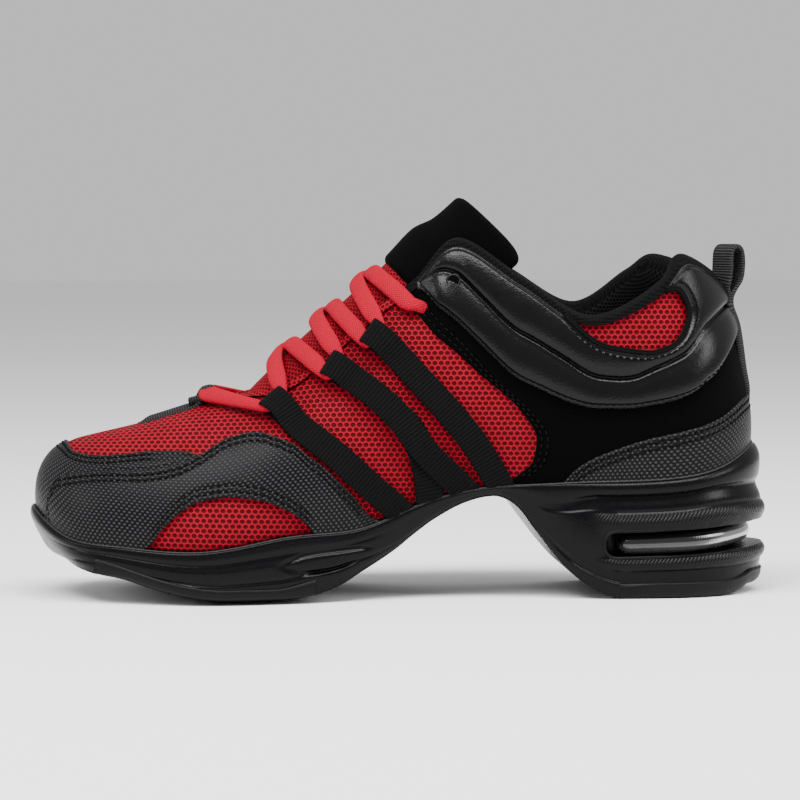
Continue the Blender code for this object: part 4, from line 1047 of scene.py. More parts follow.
def past_window(rows, shares):
    """How far places on the wall lie outside the mesh window under the collar, less than 0 within it."""
    x, y = side_row(rows) * ROW_PITCH, shares * SHARE_PITCH
    line = window_line()
    away = np.hypot(x[..., None] - line[:, 0], y[..., None] - line[:, 1]).min(-1)
    ring = np.vstack([line, [line[-1][0], ABOVE_COLLAR], [line[0][0], ABOVE_COLLAR]])
    within = np.zeros(x.shape, bool)
    for (ax, ay), (bx, by) in zip(ring, np.roll(ring, -1, 0)):
        if ay != by:
            within ^= ((ay > y) != (by > y)) & (x < ax + (y - ay) / (by - ay) * (bx - ax))
    return np.where(within, -away, away)


def build_embossed(name, node, grid, lift):
    """Embossed panel over a grid, sewn twice along its edge."""
    build_patch(name, *grid, lift, EMBOSSED, [node], "embossed_leather", SEAM_PAIR)


def build_overlays():
    """Embossed panels, suede quarters and padded collar panels, sewn on the upper."""
    build_embossed("heel_counter_skin", "heel_counter", band_grid(HEEL_COUNTER, 44, "heel"), COUNTER_LIFT)
    build_embossed("toe_cap_skin", "toe_cap", band_grid(TOE_CAP, 60, "toe"), CAP_LIFT)
    levels = np.linspace(SOLE_SHARE, QUARTER[-1].share, 140)
    back, front = [curve_of(QUARTER, "share", end)(levels) for end in ("back", "front")]
    across = back[None, :] + (front - back)[None, :] * edge_spread(110)[:, None]
    for side in SIDES:
        band = on_side(*band_grid(SIDE_BAND, 60), side)
        build_embossed("side_band_skin_" + side, "side_band_" + side, band, BAND_LIFT)
        rows, shares = on_side(across, levels[None, :] + 0 * across, side)
        build_patch("quarter_skin_" + side, rows, shares, QUARTER_LIFT, SUEDE, ["quarter_" + side], "suede",
                    SEAM_PAIR)
        rows, shares = on_side(*band_grid(COLLAR_PANEL, 150), side)
        build_patch("collar_panel_skin_" + side, rows, shares, COLLAR_LIFT, LEATHER, ["collar_panel_" + side],
                    "glossy_leather", COLLAR_SEAM, collar_relief, past_window(rows, shares))


def frame_along(path, normals):
    """Unit directions along a path, out from it and across it at each point."""
    steps = unit(np.diff(path, axis=0))
    along = unit(np.vstack([steps[:1], steps[:-1] + steps[1:], steps[-1:]]))
    across = unit(np.cross(along, normals))
    return along, np.cross(across, along), across


def smooth_path(points, step):
    """Points at even steps along a smooth curve through points, with where each lies among them."""
    points = np.asarray(points, float)
    ends = np.vstack([2 * points[0] - points[1], points, 2 * points[-1] - points[-2]])
    fine, where = [], []
    for i in range(len(points) - 1):
        a, b, c, d = ends[i:i + 4]
        count = max(2, int(np.linalg.norm(c - b) / step) + 1)
        for t in np.linspace(0, 1, count, endpoint=False):
            fine.append(0.5 * (2 * b + (c - a) * t + (2 * a - 5 * b + 4 * c - d) * t * t
                               + (3 * b - a - 3 * c + d) * t ** 3))
            where.append(i + t)
    fine.append(points[-1])
    where.append(len(points) - 1.0)
    return np.array(fine), np.array(where)


def between(values, where):
    """Values in a list at parts between its places."""
    values = np.asarray(values, float)
    flat = values.reshape(len(values), -1)
    at = [np.interp(where, np.arange(len(values)), column) for column in flat.T]
    return np.stack(at, -1).reshape((len(where),) + values.shape[1:])


def oval(count, power):
    """Points round a squared-off oval of half size 1."""
    angles = np.linspace(0, 2 * np.pi, count, endpoint=False) + np.pi / count
    c, s = np.cos(angles), np.sin(angles)
    return np.sign(c) * np.abs(c) ** (2 / power), np.sign(s) * np.abs(s) ** (2 / power)


def build_ribbon(name, path, normals, width, thick, power, count, material, nodes, slot, trim=None, bow=0.0,
                 shear=0.0):
    """Closed flat cord or webbing along a path.

    Width, thick and bow, the drop of its edges, may change along it; shear shifts its edges along it.
    """
    _, out, across = frame_along(path, normals)
    wide, deep = oval(count, power)
    width, thick, bow = [np.broadcast_to(size, len(path))[:, None] for size in (width, thick, bow)]
    aside = width / 2 * wide
    lift = thick / 2 * deep - bow * wide ** 2
    points = path[:, None] + across[:, None] * aside[..., None] + out[:, None] * lift[..., None]
    points += np.broadcast_to(shear, path.shape)[:, None] * aside[..., None]
    if trim is not None:
        points[0] = trim(points[0], path[1] - path[0])
    coords = np.stack([run_lengths(path)[:, None] + 0 * aside, aside, deep + 0 * aside], -1)
    return add(name, points, tube_faces(len(path), count), material, coords, nodes, slot)


def along_marks(marks, parts):
    """Rows and shares at even parts of a line through marks on the wall."""
    length = run_lengths(flat_marks(marks))
    return [monotone(length, column)(parts * length[-1]) for column in zip(*marks)]


STRAP_STEPS = 60


def strap_path(strap, side):
    """Middle line of a strap on the upper, from the sole up over the lace, with its facing."""
    rows, shares = along_marks(strap.marks[::-1], np.linspace(0, 1, STRAP_STEPS))
    rows = own(rows, side)
    rise = np.clip((shares - OVER_FROM) / OVER_SPAN, 0, 1)
    lift = STRAP_LIFT + STRAP_THICK / 2 + strap.over * rise
    spots = skin(rows, shares, lift)
    if strap is STRAP_LEG:
        return spots, facing(rows, shares)
    left = np.linalg.norm(spots - spots[-1], axis=1)
    keep = left > STRAP_SHORT
    climb = 2 * LOOP_RADIUS * smoothstep(STRAP_SHORT + LOOP_CLIMB, STRAP_SHORT + LOOP_LEVEL, left)
    over = skin(rows, shares, lift + np.maximum(climb - strap.over, 0))
    return over[keep], facing(rows, shares)[keep]


FOLD_POINTS = 14
FOLD_FROM = 15
FOLD_BACK = (0.4, 1.0)
SHEAR_FADE = (16.0, 2.0)
CUT_STEP = 0.05


def fold_under(spot, along, out):
    """Path and facing of the fold that goes on from the end of a strap or strip, round the lace."""
    angles = np.radians(np.linspace(FOLD_FROM, 180, FOLD_POINTS - len(FOLD_BACK)))[:, None]
    turns = along * np.sin(angles) + out * np.cos(angles)
    centre = spot - out * LOOP_RADIUS
    back = centre - out * LOOP_RADIUS - along * LOOP_BACK * np.array(FOLD_BACK)[:, None]
    return np.vstack([centre + turns * LOOP_RADIUS, back]), np.vstack([turns, [-out] * len(FOLD_BACK)])


def with_fold(path, normals):
    """Path and facing of a strap or strip, led on into its fold."""
    along, out, _ = frame_along(path, normals)
    fold, fold_normals = fold_under(path[-1], along[-1], out[-1])
    return np.vstack([path, fold]), np.vstack([normals, fold_normals])


def strap_shear(path, normals):
    """How far a strap's edges are shifted along it for each millimetre across, up to its slanting fold."""
    along, _, across = frame_along(path, normals)
    left = np.linalg.norm(path - path[-1], axis=1)
    amount = np.concatenate([smoothstep(*SHEAR_FADE, left), np.ones(FOLD_POINTS)])
    return amount[:, None] * along[-1] * STRAP_SKEW * np.sign(across[-1][0])


def sole_cut(mark, side):
    """Cut of a strap's lower end along the sole."""
    row = own(mark.row, side)
    edge = wall(row + CUT_STEP, mark.share) - wall(row - CUT_STEP, mark.share)
    square = np.cross(edge, facing(row, mark.share))

    def cut(section, along):
        reach = (section - section.mean(0)) @ square / np.dot(along, square)
        return section - along * reach[:, None]

    return cut


def build_straps():
    """Webbing straps of both sides, each with its lace loop, and the second strap's leg."""
    for side in SIDES:
        for strap in (*STRAPS, STRAP_LEG):
            path, normals = strap_path(strap, side)
            shear = 0.0
            if strap is not STRAP_LEG:
                shear = strap_shear(path, normals)
                path, normals = with_fold(path, normals)
            name = strap.name + "_" + side
            build_ribbon(name + "_webbing", path, normals, STRAP_WIDTH, STRAP_THICK, 7, 20, WEBBING, [name],
                         "webbing", sole_cut(strap.marks[-1], side), shear=shear)


def loop_middle(path, normals):
    """Middle of the fold at the end of a path, with the way of the lace through it and its facing."""
    along, out, across = frame_along(path, normals)
    way = across[-1] * np.sign(across[-1][0]) + along[-1] * STRAP_SKEW
    return path[-1] - out[-1] * LOOP_RADIUS, unit(way), out[-1]


def vamp_path():
    """Middle line of the vamp strip on the ridge, rising over the lace, with its facing."""
    path = top_edge(np.linspace(*VAMP_STRIP_ROWS, 30))
    out = np.cross(unit(np.gradient(path, axis=0)), [0.0, -1.0, 0.0])
    out *= np.sign(out[:, 2:])
    climb = 2 * LOOP_RADIUS * smoothstep(*VAMP_CLIMB, np.linalg.norm(path - path[-1], axis=1))
    sunk = VAMP_STRIP_SUNK * smoothstep(VAMP_SINK, 0.0, np.linalg.norm(path - path[0], axis=1))
    return path + out * (VAMP_STRIP_LIFT + STRAP_THICK / 2 + climb - sunk)[:, None], out


def through_loop(middle, way, out):
    """Points, facing and looseness of the lace through a loop, from one of its mouths to the other."""
    path = [middle + way * step for step in (-LACE_MOUTH, 0.0, LACE_MOUTH)]
    return path, [out] * len(path), [0.0] * len(path)


def lace_span(start, end, start_out, end_out, over):
    """Points and facing of the lace between a loop and the ridge, bulging over the tongue's side."""
    points, facings = [], []
    for bulge in BULGES:
        out = unit(start_out + (end_out - start_out) * bulge.part)
        points.append(start + (end - start) * bulge.part + out * (bulge.out + over * bulge.over))
        facings.append(out)
    return points, facings


def lace_half(side):
    """Path, facing and looseness of half the lace, from the vamp loop to the collar panel."""
    other = {"lateral": "medial", "medial": "lateral"}
    path, normals, free = [], [], []
    for k, (strap, crossing) in enumerate(zip(STRAPS, LACE_CROSSINGS)):
        points, facings, loose = through_loop(*loop_middle(*strap_path(strap, side)))
        path += points
        normals += facings
        free += loose
        outbound = side == "lateral"
        station = crossing.out if outbound else crossing.back
        base = tongue_point(station, 0.0, 0.0)
        up = base - tongue_point(station, 0.0, 1.0)
        ridge = base + up * (LACE_LIFT + (RIDGE_OUT if outbound else RIDGE_BACK))
        side = other[side]
        if k + 1 < len(STRAPS):
            middle, way, out = loop_middle(*strap_path(STRAPS[k + 1], side))
            mouth = middle - way * LACE_MOUTH
        else:
            end = LACE_ENDS[0]
            mouth, out = skin(own(end.row, side), end.share, end.lift), facing(own(end.row, side), end.share)
        climb = lace_span(path[-1], ridge, normals[-1], up, 0.0)
        fall = lace_span(mouth, ridge, out, up, LACE_OVER if outbound else 0.0)
        path += climb[0] + [ridge] + fall[0][::-1]
        normals += climb[1] + [up] + fall[1][::-1]
        free += [1.0] * (2 * len(BULGES) + 1)
    for end in LACE_ENDS:
        path.append(skin(own(end.row, side), end.share, end.lift))
        normals.append(facing(own(end.row, side), end.share))
        free.append(end.loose)
    return path, normals, free


def build_lace():
    """Lace from one collar panel through every loop to the other, its ends hidden."""
    strip, strip_normals = vamp_path()
    _, out, across = frame_along(strip, strip_normals)
    out, way = out[-1], across[-1] * np.sign(across[-1][1])
    middle = strip[-1] - out * LOOP_RADIUS
    under_strip = [middle + way * step for step in VAMP_STEPS]
    aside = [out * LACE_TILT.up + way * LACE_TILT.side, out * LACE_TILT.up - way * LACE_TILT.side]
    at_vamp = (under_strip, [aside[0], out, out, aside[1]], VAMP_LOOSE)
    thirds = zip(lace_half("medial"), at_vamp, lace_half("lateral"))
    route, normals, free = [np.array(medial[::-1] + vamp + lateral) for medial, vamp, lateral in thirds]
    path, where = smooth_path(route, LACE_STEP)
    looseness = smoothstep(0.0, 1.0, between(free, where))
    width = LACE_LOOP_WIDTH + (LACE_WIDTH - LACE_LOOP_WIDTH) * looseness
    thick = LACE_LOOP_THICK + (LACE_THICK - LACE_LOOP_THICK) * looseness
    build_ribbon("lace_braid", path, between(normals, where), width, thick, 2.2, 24, LACE, ["lace"],
                 "red_lace")


def turned(points, angles, axis=np.zeros(3)):
    """Points turned about an upright axis, each by its own angle."""
    x, y, z = (points - axis).T
    cos, sin = np.cos(angles), np.sin(angles)
    return np.stack([x * cos - y * sin, x * sin + y * cos, z], -1) + axis


def build_strips():
    """Vamp strip and back strip, with their loops."""
    path, normals = with_fold(*vamp_path())
    build_ribbon("vamp_strip_webbing", path, normals, VAMP_STRIP_WIDTH, VAMP_STRIP_THICK, 5, 24,
                 GREY_WEBBING, ["vamp_strip"], "grey_webbing", bow=VAMP_STRIP_BOW)
    shares = np.linspace(BACK_STRIP[0].share, BACK_STRIP[-1].share, 16)
    start = skin(0.0 * shares, shares, curve_of(BACK_STRIP, "share", "lift")(shares))
    loop = [(p.x, start[0][1], p.z) for p in PULL_LOOP]
    path, _ = smooth_path(np.vstack([start, loop]), STRIP_STEP)
    slopes = unit(np.gradient(path, axis=0))
    flat = np.stack([slopes[:, 2], 0 * slopes[:, 0], -slopes[:, 0]], -1)
    twist = np.radians(PULL_TWIST) * smoothstep(*TWIST_Z, path[:, 2])
    upright = smoothstep(*UPRIGHT_Z, path[:, 2])
    bow = STRIP_BOW * smoothstep(*BOW_Z, path[:, 2]) * (1 - upright)
    path = turned(path, twist, np.array([PULL_AXIS, path[0][1], 0.0]))
    width = STRIP_WIDTH + (LOOP_WIDTH - STRIP_WIDTH) * upright
    build_ribbon("back_strip_webbing", path, turned(flat, twist), width, STRIP_THICK, 7, 20, GREY_WEBBING,
                 ["back_strip"], "grey_webbing", bow=bow)


TONGUE_CURVES = [monotone(range(len(TONGUE)), column) for column in list(zip(*TONGUE))[1:]]
TONGUE_MID = 0.5


def tongue_point(station, across, depth_in):
    """Point of the tongue at a station number, across from -1 to 1, some way in from its outside."""
    x, z, slope, half, depth, sweep = [curve(station) for curve in TONGUE_CURVES]
    angle = np.radians(sweep) * across
    slope = np.radians(slope)
    side = (half - depth_in) * np.sin(angle)
    drop = depth_in + (depth - depth_in) * (1 - np.cos(angle))
    return np.stack([x + drop * np.sin(slope), TONGUE_MID + side, z - drop * np.cos(slope)], -1)


Padding = namedtuple("Padding", "name node first last corner thick lift material slot")
TONGUE_PADS = [
    Padding("tongue_mesh", "tongue", 0.0, 5.2, 0.0, 4.2, -2.0, RED_FINE, "red_mesh"),
    Padding("tongue_top_pad", "tongue_top", 4.98, 8.0, 0.4, 7.0, -1.6, TONGUE_SUEDE, "black_knit"),
]
TONGUE_EDGE = 2.6
TONGUE_STRAIGHT = 0.6
EDGE_MERGE = 0.02


def build_tongue_pad(pad):
    """Padded length of the tongue with rounded edges and corners."""
    across = -np.cos(np.linspace(0, np.pi, 61))
    bend = np.clip((np.abs(across) - TONGUE_STRAIGHT) / (1 - TONGUE_STRAIGHT), 0, 1)
    last = pad.last - pad.corner * (1 - np.sqrt(np.clip(1 - bend * bend, 0, 1)))
    stations = pad.first + (last - pad.first)[:, None] * (1 + across[None, :]) / 2
    places = across[:, None] + 0 * stations
    base = tongue_point(stations, places, 0.0)
    out = unit(base - tongue_point(stations, places, 1.0))
    run, wide = run_lengths(base, 1), run_lengths(base)
    inside = np.minimum(from_ends(run, 1), from_ends(wide))
    half = 0.5 * pad.thick * cushion(inside, TONGUE_EDGE)
    sheets = [base + out * (pad.lift + half)[..., None], base + out * (pad.lift - half)[..., None]]
    place = np.stack([run, wide - wide[-1:] / 2, 0 * run], -1)
    shape = base.shape[:2]
    faces = grid_faces(*shape) + grid_faces(*shape, turn=True, base=shape[0] * shape[1])
    piece = add(pad.name, sheets, faces, pad.material, [place, place], [pad.node], pad.slot)
    face_outward(piece, merge=EDGE_MERGE)
    piece.data.shade_smooth()


def build_tongue():
    """Mesh tongue and its padded top."""
    for pad in TONGUE_PADS:
        build_tongue_pad(pad)


def ring_values(kind):
    """Curve round the shoe for each ring of the sole's side: its share or its offset."""
    curves = []
    for ring in RINGS:
        knots, values = [], []
        for station, rows in RING_ROWS.items():
            for row in rows:
                knots.append(row)
                values.append(getattr(ring, station + kind))
        curves.append(monotone(knots, values))
    return curves


RING_SHARE = ring_values("")
RING_OUT = ring_values("_out")


def padded_row(near):
    """True where a tread pad is let into the sole."""
    return any(pad.first - PAD_PAST <= near <= pad.last + PAD_PAST for pad in PADS)


def sole_span(foot):
    """Top and underside of the sole's side at the foot of the wall."""
    return foot[2] + SOLE_OVER, float(UNDER_Z(foot[0]))


def bed_height(foot):
    """Height of the footbed beside the foot of the wall."""
    return min(float(BED_Z(foot[0])), foot[2] - BED_UNDER)


def cut_place(near, fine, shares, height):
    """Place down the sole's side from which it is cut away over a tread pad."""
    if near < TOE_ROW / 2:
        share = shares[CREASE]
    else:
        share = 1 - (PAD_THICK + PAD_GAP) / height
    return int(np.searchsorted(fine, share - 1e-6))


WINDOW_Z = monotone([0.0, 1.6, WINDOW_ROW], [WINDOW_BACK_Z, WINDOW_SIDE_Z, WINDOW_SIDE_Z - 0.6])


def rib_spans(near, shares):
    """Shares between which the rib on either side of the heel window is rounded."""
    top, under = sole_span(FOOT(near)[0])
    middle = float(WINDOW_Z(near))
    return (
        (shares[RIB_TOP], (top - middle - WINDOW_HALF) / (top - under)),
        ((top - middle + WINDOW_HALF) / (top - under), shares[RIB_FOOT]),
    )


def swelling(fine, first, last):
    """Height of a round swelling between two shares, from 0 to 1."""
    part = (fine - first) / (last - first)
    return np.clip(1 - (2 * part - 1) ** 2, 0, 1) ** SWELL_ROUND


def sole_profile(near):
    """Share and offset down the sole's side at a row, finely, with a round cup and ribs."""
    shares, outs = [np.array([float(curve(near)) for curve in curves]) for curves in (RING_SHARE, RING_OUT)]
    heel = float(smoothstep(*HEEL_FADE, near))
    outs[:GROOVE + 1] -= heel * CUP_ROUND
    outs[RIB_TOP:RIB_FOOT + 1] -= heel * RIB_ROUND
    fine = np.concatenate([np.linspace(a, b, 8)[:-1] for a, b in zip(shares[:-1], shares[1:])] + [[1.0]])
    edge = np.clip(fine / shares[1], 0, 1)
    lip = outs[0] + (outs[1] - outs[0]) * np.sqrt(1 - (1 - edge) ** 2)
    out = np.where(fine < shares[1], lip, monotone(shares, outs)(fine))
    ribs = sum(swelling(fine, *span) for span in rib_spans(near, shares))
    ahead = float(smoothstep(*RIBS_JOIN, near))
    ribs += (swelling(fine, shares[RIB_TOP], shares[RIB_FOOT]) - ribs) * ahead
    out = out + heel * (CUP_ROUND * swelling(fine, 0.0, shares[GROOVE]) + RIB_ROUND * ribs)
    return fine, out, shares


def sole_column(row):
    """Points down one column of the sole, with their knurl."""
    foot = FOOT(row)[0]
    level = inward(row)
    near = float(side_row(row))
    top, under = sole_span(foot)
    into = level if near < TOE_ROW / 2 else np.array([0.0, np.sign(level[1]), 0.0])
    fine, outs, shares = sole_profile(near)
    ledge = zip(LEDGE_IN, (bed_height(foot), top, top), LEDGE_UP)
    points = [np.array([*(foot + level * inset)[:2], base + up]) for inset, base, up in ledge]
    knurl = [0.0] * len(points)
    spans = [(a + KNURL[0] * (b - a), a + KNURL[1] * (b - a)) for a, b in rib_spans(near, shares)]
    heel = float(smoothstep(*KNURL_FADE, near))
    cut = cut_place(near, fine, shares, top - under) if padded_row(near) else len(fine)
    for k, (share, out) in enumerate(zip(fine, outs)):
        height = top - share * (top - under)
        spot = foot - level * out
        for groove in GROOVES:
            if groove[0].x < spot[0] < groove[-1].x:
                ends = min(spot[0] - groove[0].x, groove[-1].x - spot[0])
                deep = GROOVE_DEPTH * smoothstep(0.0, GROOVE_FADE, ends)
                line = curve_of(groove, "x", "z")(spot[0])
                spot = spot + level * deep * bell(height - line, GROOVE_WIDTH)
        if k >= cut:
            beyond = (share - fine[cut]) / (1 - fine[cut])
            spot = foot - level * outs[cut] + into * CUT_DEEP * beyond
            height = float(UNDER_Z(spot[0])) + PAD_THICK + PAD_GAP
        elif cut < len(fine):
            height = max(height, float(UNDER_Z(spot[0])) + PAD_THICK + PAD_GAP)
        points.append(np.array([spot[0], spot[1], height]))
        knurl.append(heel if any(low <= share <= high for low, high in spans) else 0.0)
    return points, knurl


def across_faces(columns, lines, line, upward):
    """Faces that join the two sides across the shoe at one line of the columns."""
    faces = []
    half = columns // 2
    for i in range(half):
        loop = [i, i + 1, (columns - i - 1) % columns, (columns - i) % columns]
        if upward:
            loop = loop[::-1]
        corners = []
        for k in loop:
            if k * lines + line not in corners:
                corners.append(k * lines + line)
        if len(corners) > 2:
            faces.append(tuple(corners))
    return faces


def loop_rows(parts):
    """Rows of one side and back along the other, close pairs where the tread pads end."""
    side = set(np.linspace(0, TOE_ROW, TOE_ROW * parts + 1).round(6))
    for pad in PADS:
        for end, way in ((pad.first, -1), (pad.last, 1)):
            if end > 0:
                side.update(round(end + way * past, 6) for past in PAD_PAIR)
    side = sorted(side)
    return side + [ROWS - row for row in side[-2:0:-1]]


def heel_line(row, offset, height):
    """Point beside the heel at some offset out from the foot of the wall."""
    spot = FOOT(row)[0] - inward(row) * offset
    return np.array([spot[0], spot[1], height])


def window_half(near):
    """Half height of the heel window at a row, round at its front end."""
    reach = min((WINDOW_ROW - near) * WINDOW_ROW_LENGTH, WINDOW_HALF)
    return math.sqrt(max(0.0, WINDOW_HALF ** 2 - (WINDOW_HALF - reach) ** 2))


def build_window_cutter():
    """Slot with round ends, led round the back of the heel."""
    ends = np.array([0.03, 0.12, 0.3, 0.6, 1.0, 1.5, 2.1, 2.8, 3.6, 4.4])
    near = np.concatenate([WINDOW_ROW - ends / WINDOW_ROW_LENGTH, np.linspace(WINDOW_STRAIGHT, 0, 40)])
    rows = np.concatenate([near, ROWS - near[-2::-1]])
    corners = ((-WINDOW_DEEP, -1), (CUTTER_OUT, -1), (CUTTER_OUT, 1), (-WINDOW_DEEP, 1))
    points = []
    for row in rows:
        middle = float(WINDOW_Z(side_row(row)))
        half = window_half(float(side_row(row)))
        points += [heel_line(row, offset, middle + way * half) for offset, way in corners]
    faces = tube_faces(len(rows), len(corners))
    return add("window_cutter", points, faces, RUBBER, np.zeros((len(points), 3)))


def build_sole():
    """Moulded sole with the window cut through its heel."""
    rows = loop_rows(16)
    columns = [sole_column(row) for row in rows]
    points = np.array([column[0] for column in columns])
    lines = points.shape[1]
    coords = np.zeros(points.shape)
    coords[..., 0] = run_lengths(points[:, 1])[:, None]
    coords[..., 1] = points[..., 2]
    coords[..., 2] = np.array([column[1] for column in columns])
    faces = grid_faces(len(rows), lines, closed=True, turn=True)
    faces += across_faces(len(rows), lines, 0, upward=True)
    faces += across_faces(len(rows), lines, lines - 1, upward=False)
    sole = add("sole_rubber_body", points, faces, RUBBER, coords, ["sole"], "sole_rubber")
    cutter = build_window_cutter()
    face_outward(sole)
    face_outward(cutter)
    slot = sole.modifiers.new("Window", "BOOLEAN")
    slot.object = cutter
    slot.operation = "DIFFERENCE"
    slot.solver = "EXACT"
    apply_modifiers(sole)
    bpy.data.objects.remove(cutter)
    sole.data.shade_smooth()
    sole.data.set_sharp_from_angle(angle=math.radians(SHARP_ANGLE))


def build_window_rim():
    """Raised lip round the front end of the heel window."""
    ends = np.array([4.4, 3.5, 2.5, 1.6, 0.9, 0.4, 0.1, 0.0])
    near = np.concatenate([np.linspace(RIM_ROW, WINDOW_STRAIGHT, 14), WINDOW_ROW - ends / WINDOW_ROW_LENGTH])
    for side in SIDES:
        above, below = [], []
        for row in near:
            fine, outs, _ = sole_profile(row)
            place = own(row, side)
            top, under = sole_span(FOOT(place)[0])
            middle = float(WINDOW_Z(row))
            half = window_half(float(row)) + RIM_GAP
            for store, height in ((above, middle + half), (below, middle - half)):
                out = float(np.interp((top - height) / (top - under), fine, outs))
                store.append(heel_line(place, out - RIM_SUNK, height))
        path, where = smooth_path(np.array(above + below[::-1]), 1.0)
        normals = np.tile(-inward(own(RIM_FACING, side)), (len(path), 1))
        size = RIM_SIZE * smoothstep(*RIM_FADE, from_ends(where))
        build_ribbon("window_rim_" + side, path, normals, size, size, 2, 10, TREAD, [], "sole_rubber")


def pad_section(pad, row):
    """Points across a tread pad at a row, from its top on the outer side to its top on the inner side."""
    from_end = min(row - pad.first if pad.first else PAD_OPEN, pad.last - row)
    crown = float(smoothstep(0.0, PAD_FADE, from_end))
    edge = PAD_EDGE + (pad.edge - PAD_EDGE) * crown
    reach = PAD_SHELF + pad.flat * crown + float(RING_OUT[CREASE + 1](row) - RING_OUT[CREASE + 2](row))
    tuck = pad.tuck * (1 - crown)
    lines = [(1.02, CREASE, -tuck), (0.97, CREASE + 1, 0.1 - tuck), (0.5 + edge / 2, CREASE + 1, 0.2 - tuck)]
    for part in PAD_ROUND:
        lines.append((edge * part, CREASE + 1, -tuck - reach * (1 - math.sqrt(1 - (1 - part) ** 2))))
    sides = []
    for place in (row, ROWS - row):
        level = inward(place)
        out = np.array([0.0, -np.sign(level[1]), 0.0]) if pad.flat else -level
        side = []
        for height, ring, more in lines:
            spot = FOOT(place)[0] - level * float(RING_OUT[ring](row))
            side.append([*(spot + out * more)[:2], float(UNDER_Z(spot[0])) + PAD_THICK * height])
        sides.append(side)
    first, last = np.array(sides[0][-1]), np.array(sides[1][-1])
    under = first + (last - first) * np.linspace(0, 1, 61)[1:-1, None]
    return np.vstack([sides[0], under, sides[1][::-1]])


def build_pads():
    """Tread pads with their grooves."""
    for pad in PADS:
        columns = int((pad.last - pad.first) * 22)
        near = np.linspace(max(0.0, pad.first - PAD_REACH), pad.last + PAD_REACH, columns)
        points = np.array([pad_section(pad, row) for row in near])
        count = points.shape[1]
        bottom = smoothstep(PAD_SIDE, PAD_UNDER, from_ends(np.arange(count)))
        lean = points[..., 0] + TREAD_LEAN * np.abs(points[..., 1])
        chevron = np.abs(np.mod(lean, TREAD_PITCH) - TREAD_PITCH / 2)
        points[..., 2] += TREAD_DEPTH * bottom * smoothstep(*TREAD_EDGE, chevron)
        faces = grid_faces(columns, count, turn=True)
        for a in range(0, (columns - 1) * count, count):
            faces.append((a, a + count, a + 2 * count - 1, a + count - 1))
        faces.append(tuple(range(count))[::-1])
        faces.append(tuple(range((columns - 1) * count, columns * count)))
        add(pad.name + "_tread", points, faces, TREAD, points, [pad.name], "tread_rubber")


def build_air_unit():
    """Clear tube led round the heel inside its window, with round ends."""
    rows = np.linspace(-TUBE_ROW, TUBE_ROW, TUBE_STEPS)
    heights = WINDOW_Z(np.abs(rows)) - WINDOW_HALF + GAP + TUBE_RADIUS
    path = np.array([heel_line(row, -TUBE_INSET, height) for row, height in zip(rows, heights)])
    normals = np.tile([0.0, 0.0, 1.0], (len(path), 1))
    inside = from_ends(np.arange(TUBE_STEPS)) * TUBE_STEP + TUBE_START
    width = 2 * TUBE_RADIUS * cushion(inside, TUBE_RADIUS)
    build_ribbon("air_tube", path, normals, width, width, 2, 20, CLEAR, ["air_unit"], "clear_tube")


def build_insole():
    """Cloth-covered footbed, turned up at its edge."""
    rows = np.array(loop_rows(6))
    parts = np.linspace(1, 0, 14)
    points = []
    for row in rows:
        foot = FOOT(row)[0]
        edge = foot + inward(row) * INSOLE_INSET
        middle = np.array([edge[0], INSOLE_MIDDLE, 0.0])
        for part in parts:
            spot = middle + (edge - middle) * part
            points.append([spot[0], spot[1], bed_height(foot) + INSOLE_OVER + INSOLE_TURN * part ** 4])
    faces = grid_faces(len(rows), len(parts), closed=True)
    add("insole_cloth_board", points, faces, LINING, np.array(points) * [1, 1, 0], ["insole"], "insole_cloth")


BINDING_NARROW = 0.75
BINDING_DIP = 3.0
BINDING_SPAN = 0.7
COLLAR_PAD = (6.6, 5.2)
THIN_SHARE = 0.34
THIN_MOST = -2.2
ROLL_THIN = 0.35
# Sections of the binding and of the lining under it: share, lift from the wall, rise over its edge
ROLL = [
    (0.962, 1.0, 0.0), (1.0, 1.1, 1.3), (1.0, -0.4, 2.9), (1.0, -2.2, 3.6), (1.0, -4.2, 3.0),
    (1.0, -5.6, 1.2), (0.985, -6.2, 0.0),
]
DEEP = [
    (0.985, -6.2, 0.0), (0.95, -7.0, 0.0), (0.88, -7.4, 0.0), (0.78, -6.8, 0.0), (0.66, -5.2, 0.0),
    (0.5, -3.4, 0.0), (0.3, -2.6, 0.0), (0.12, -2.4, 0.0), (0.0, -2.2, 0.0),
]


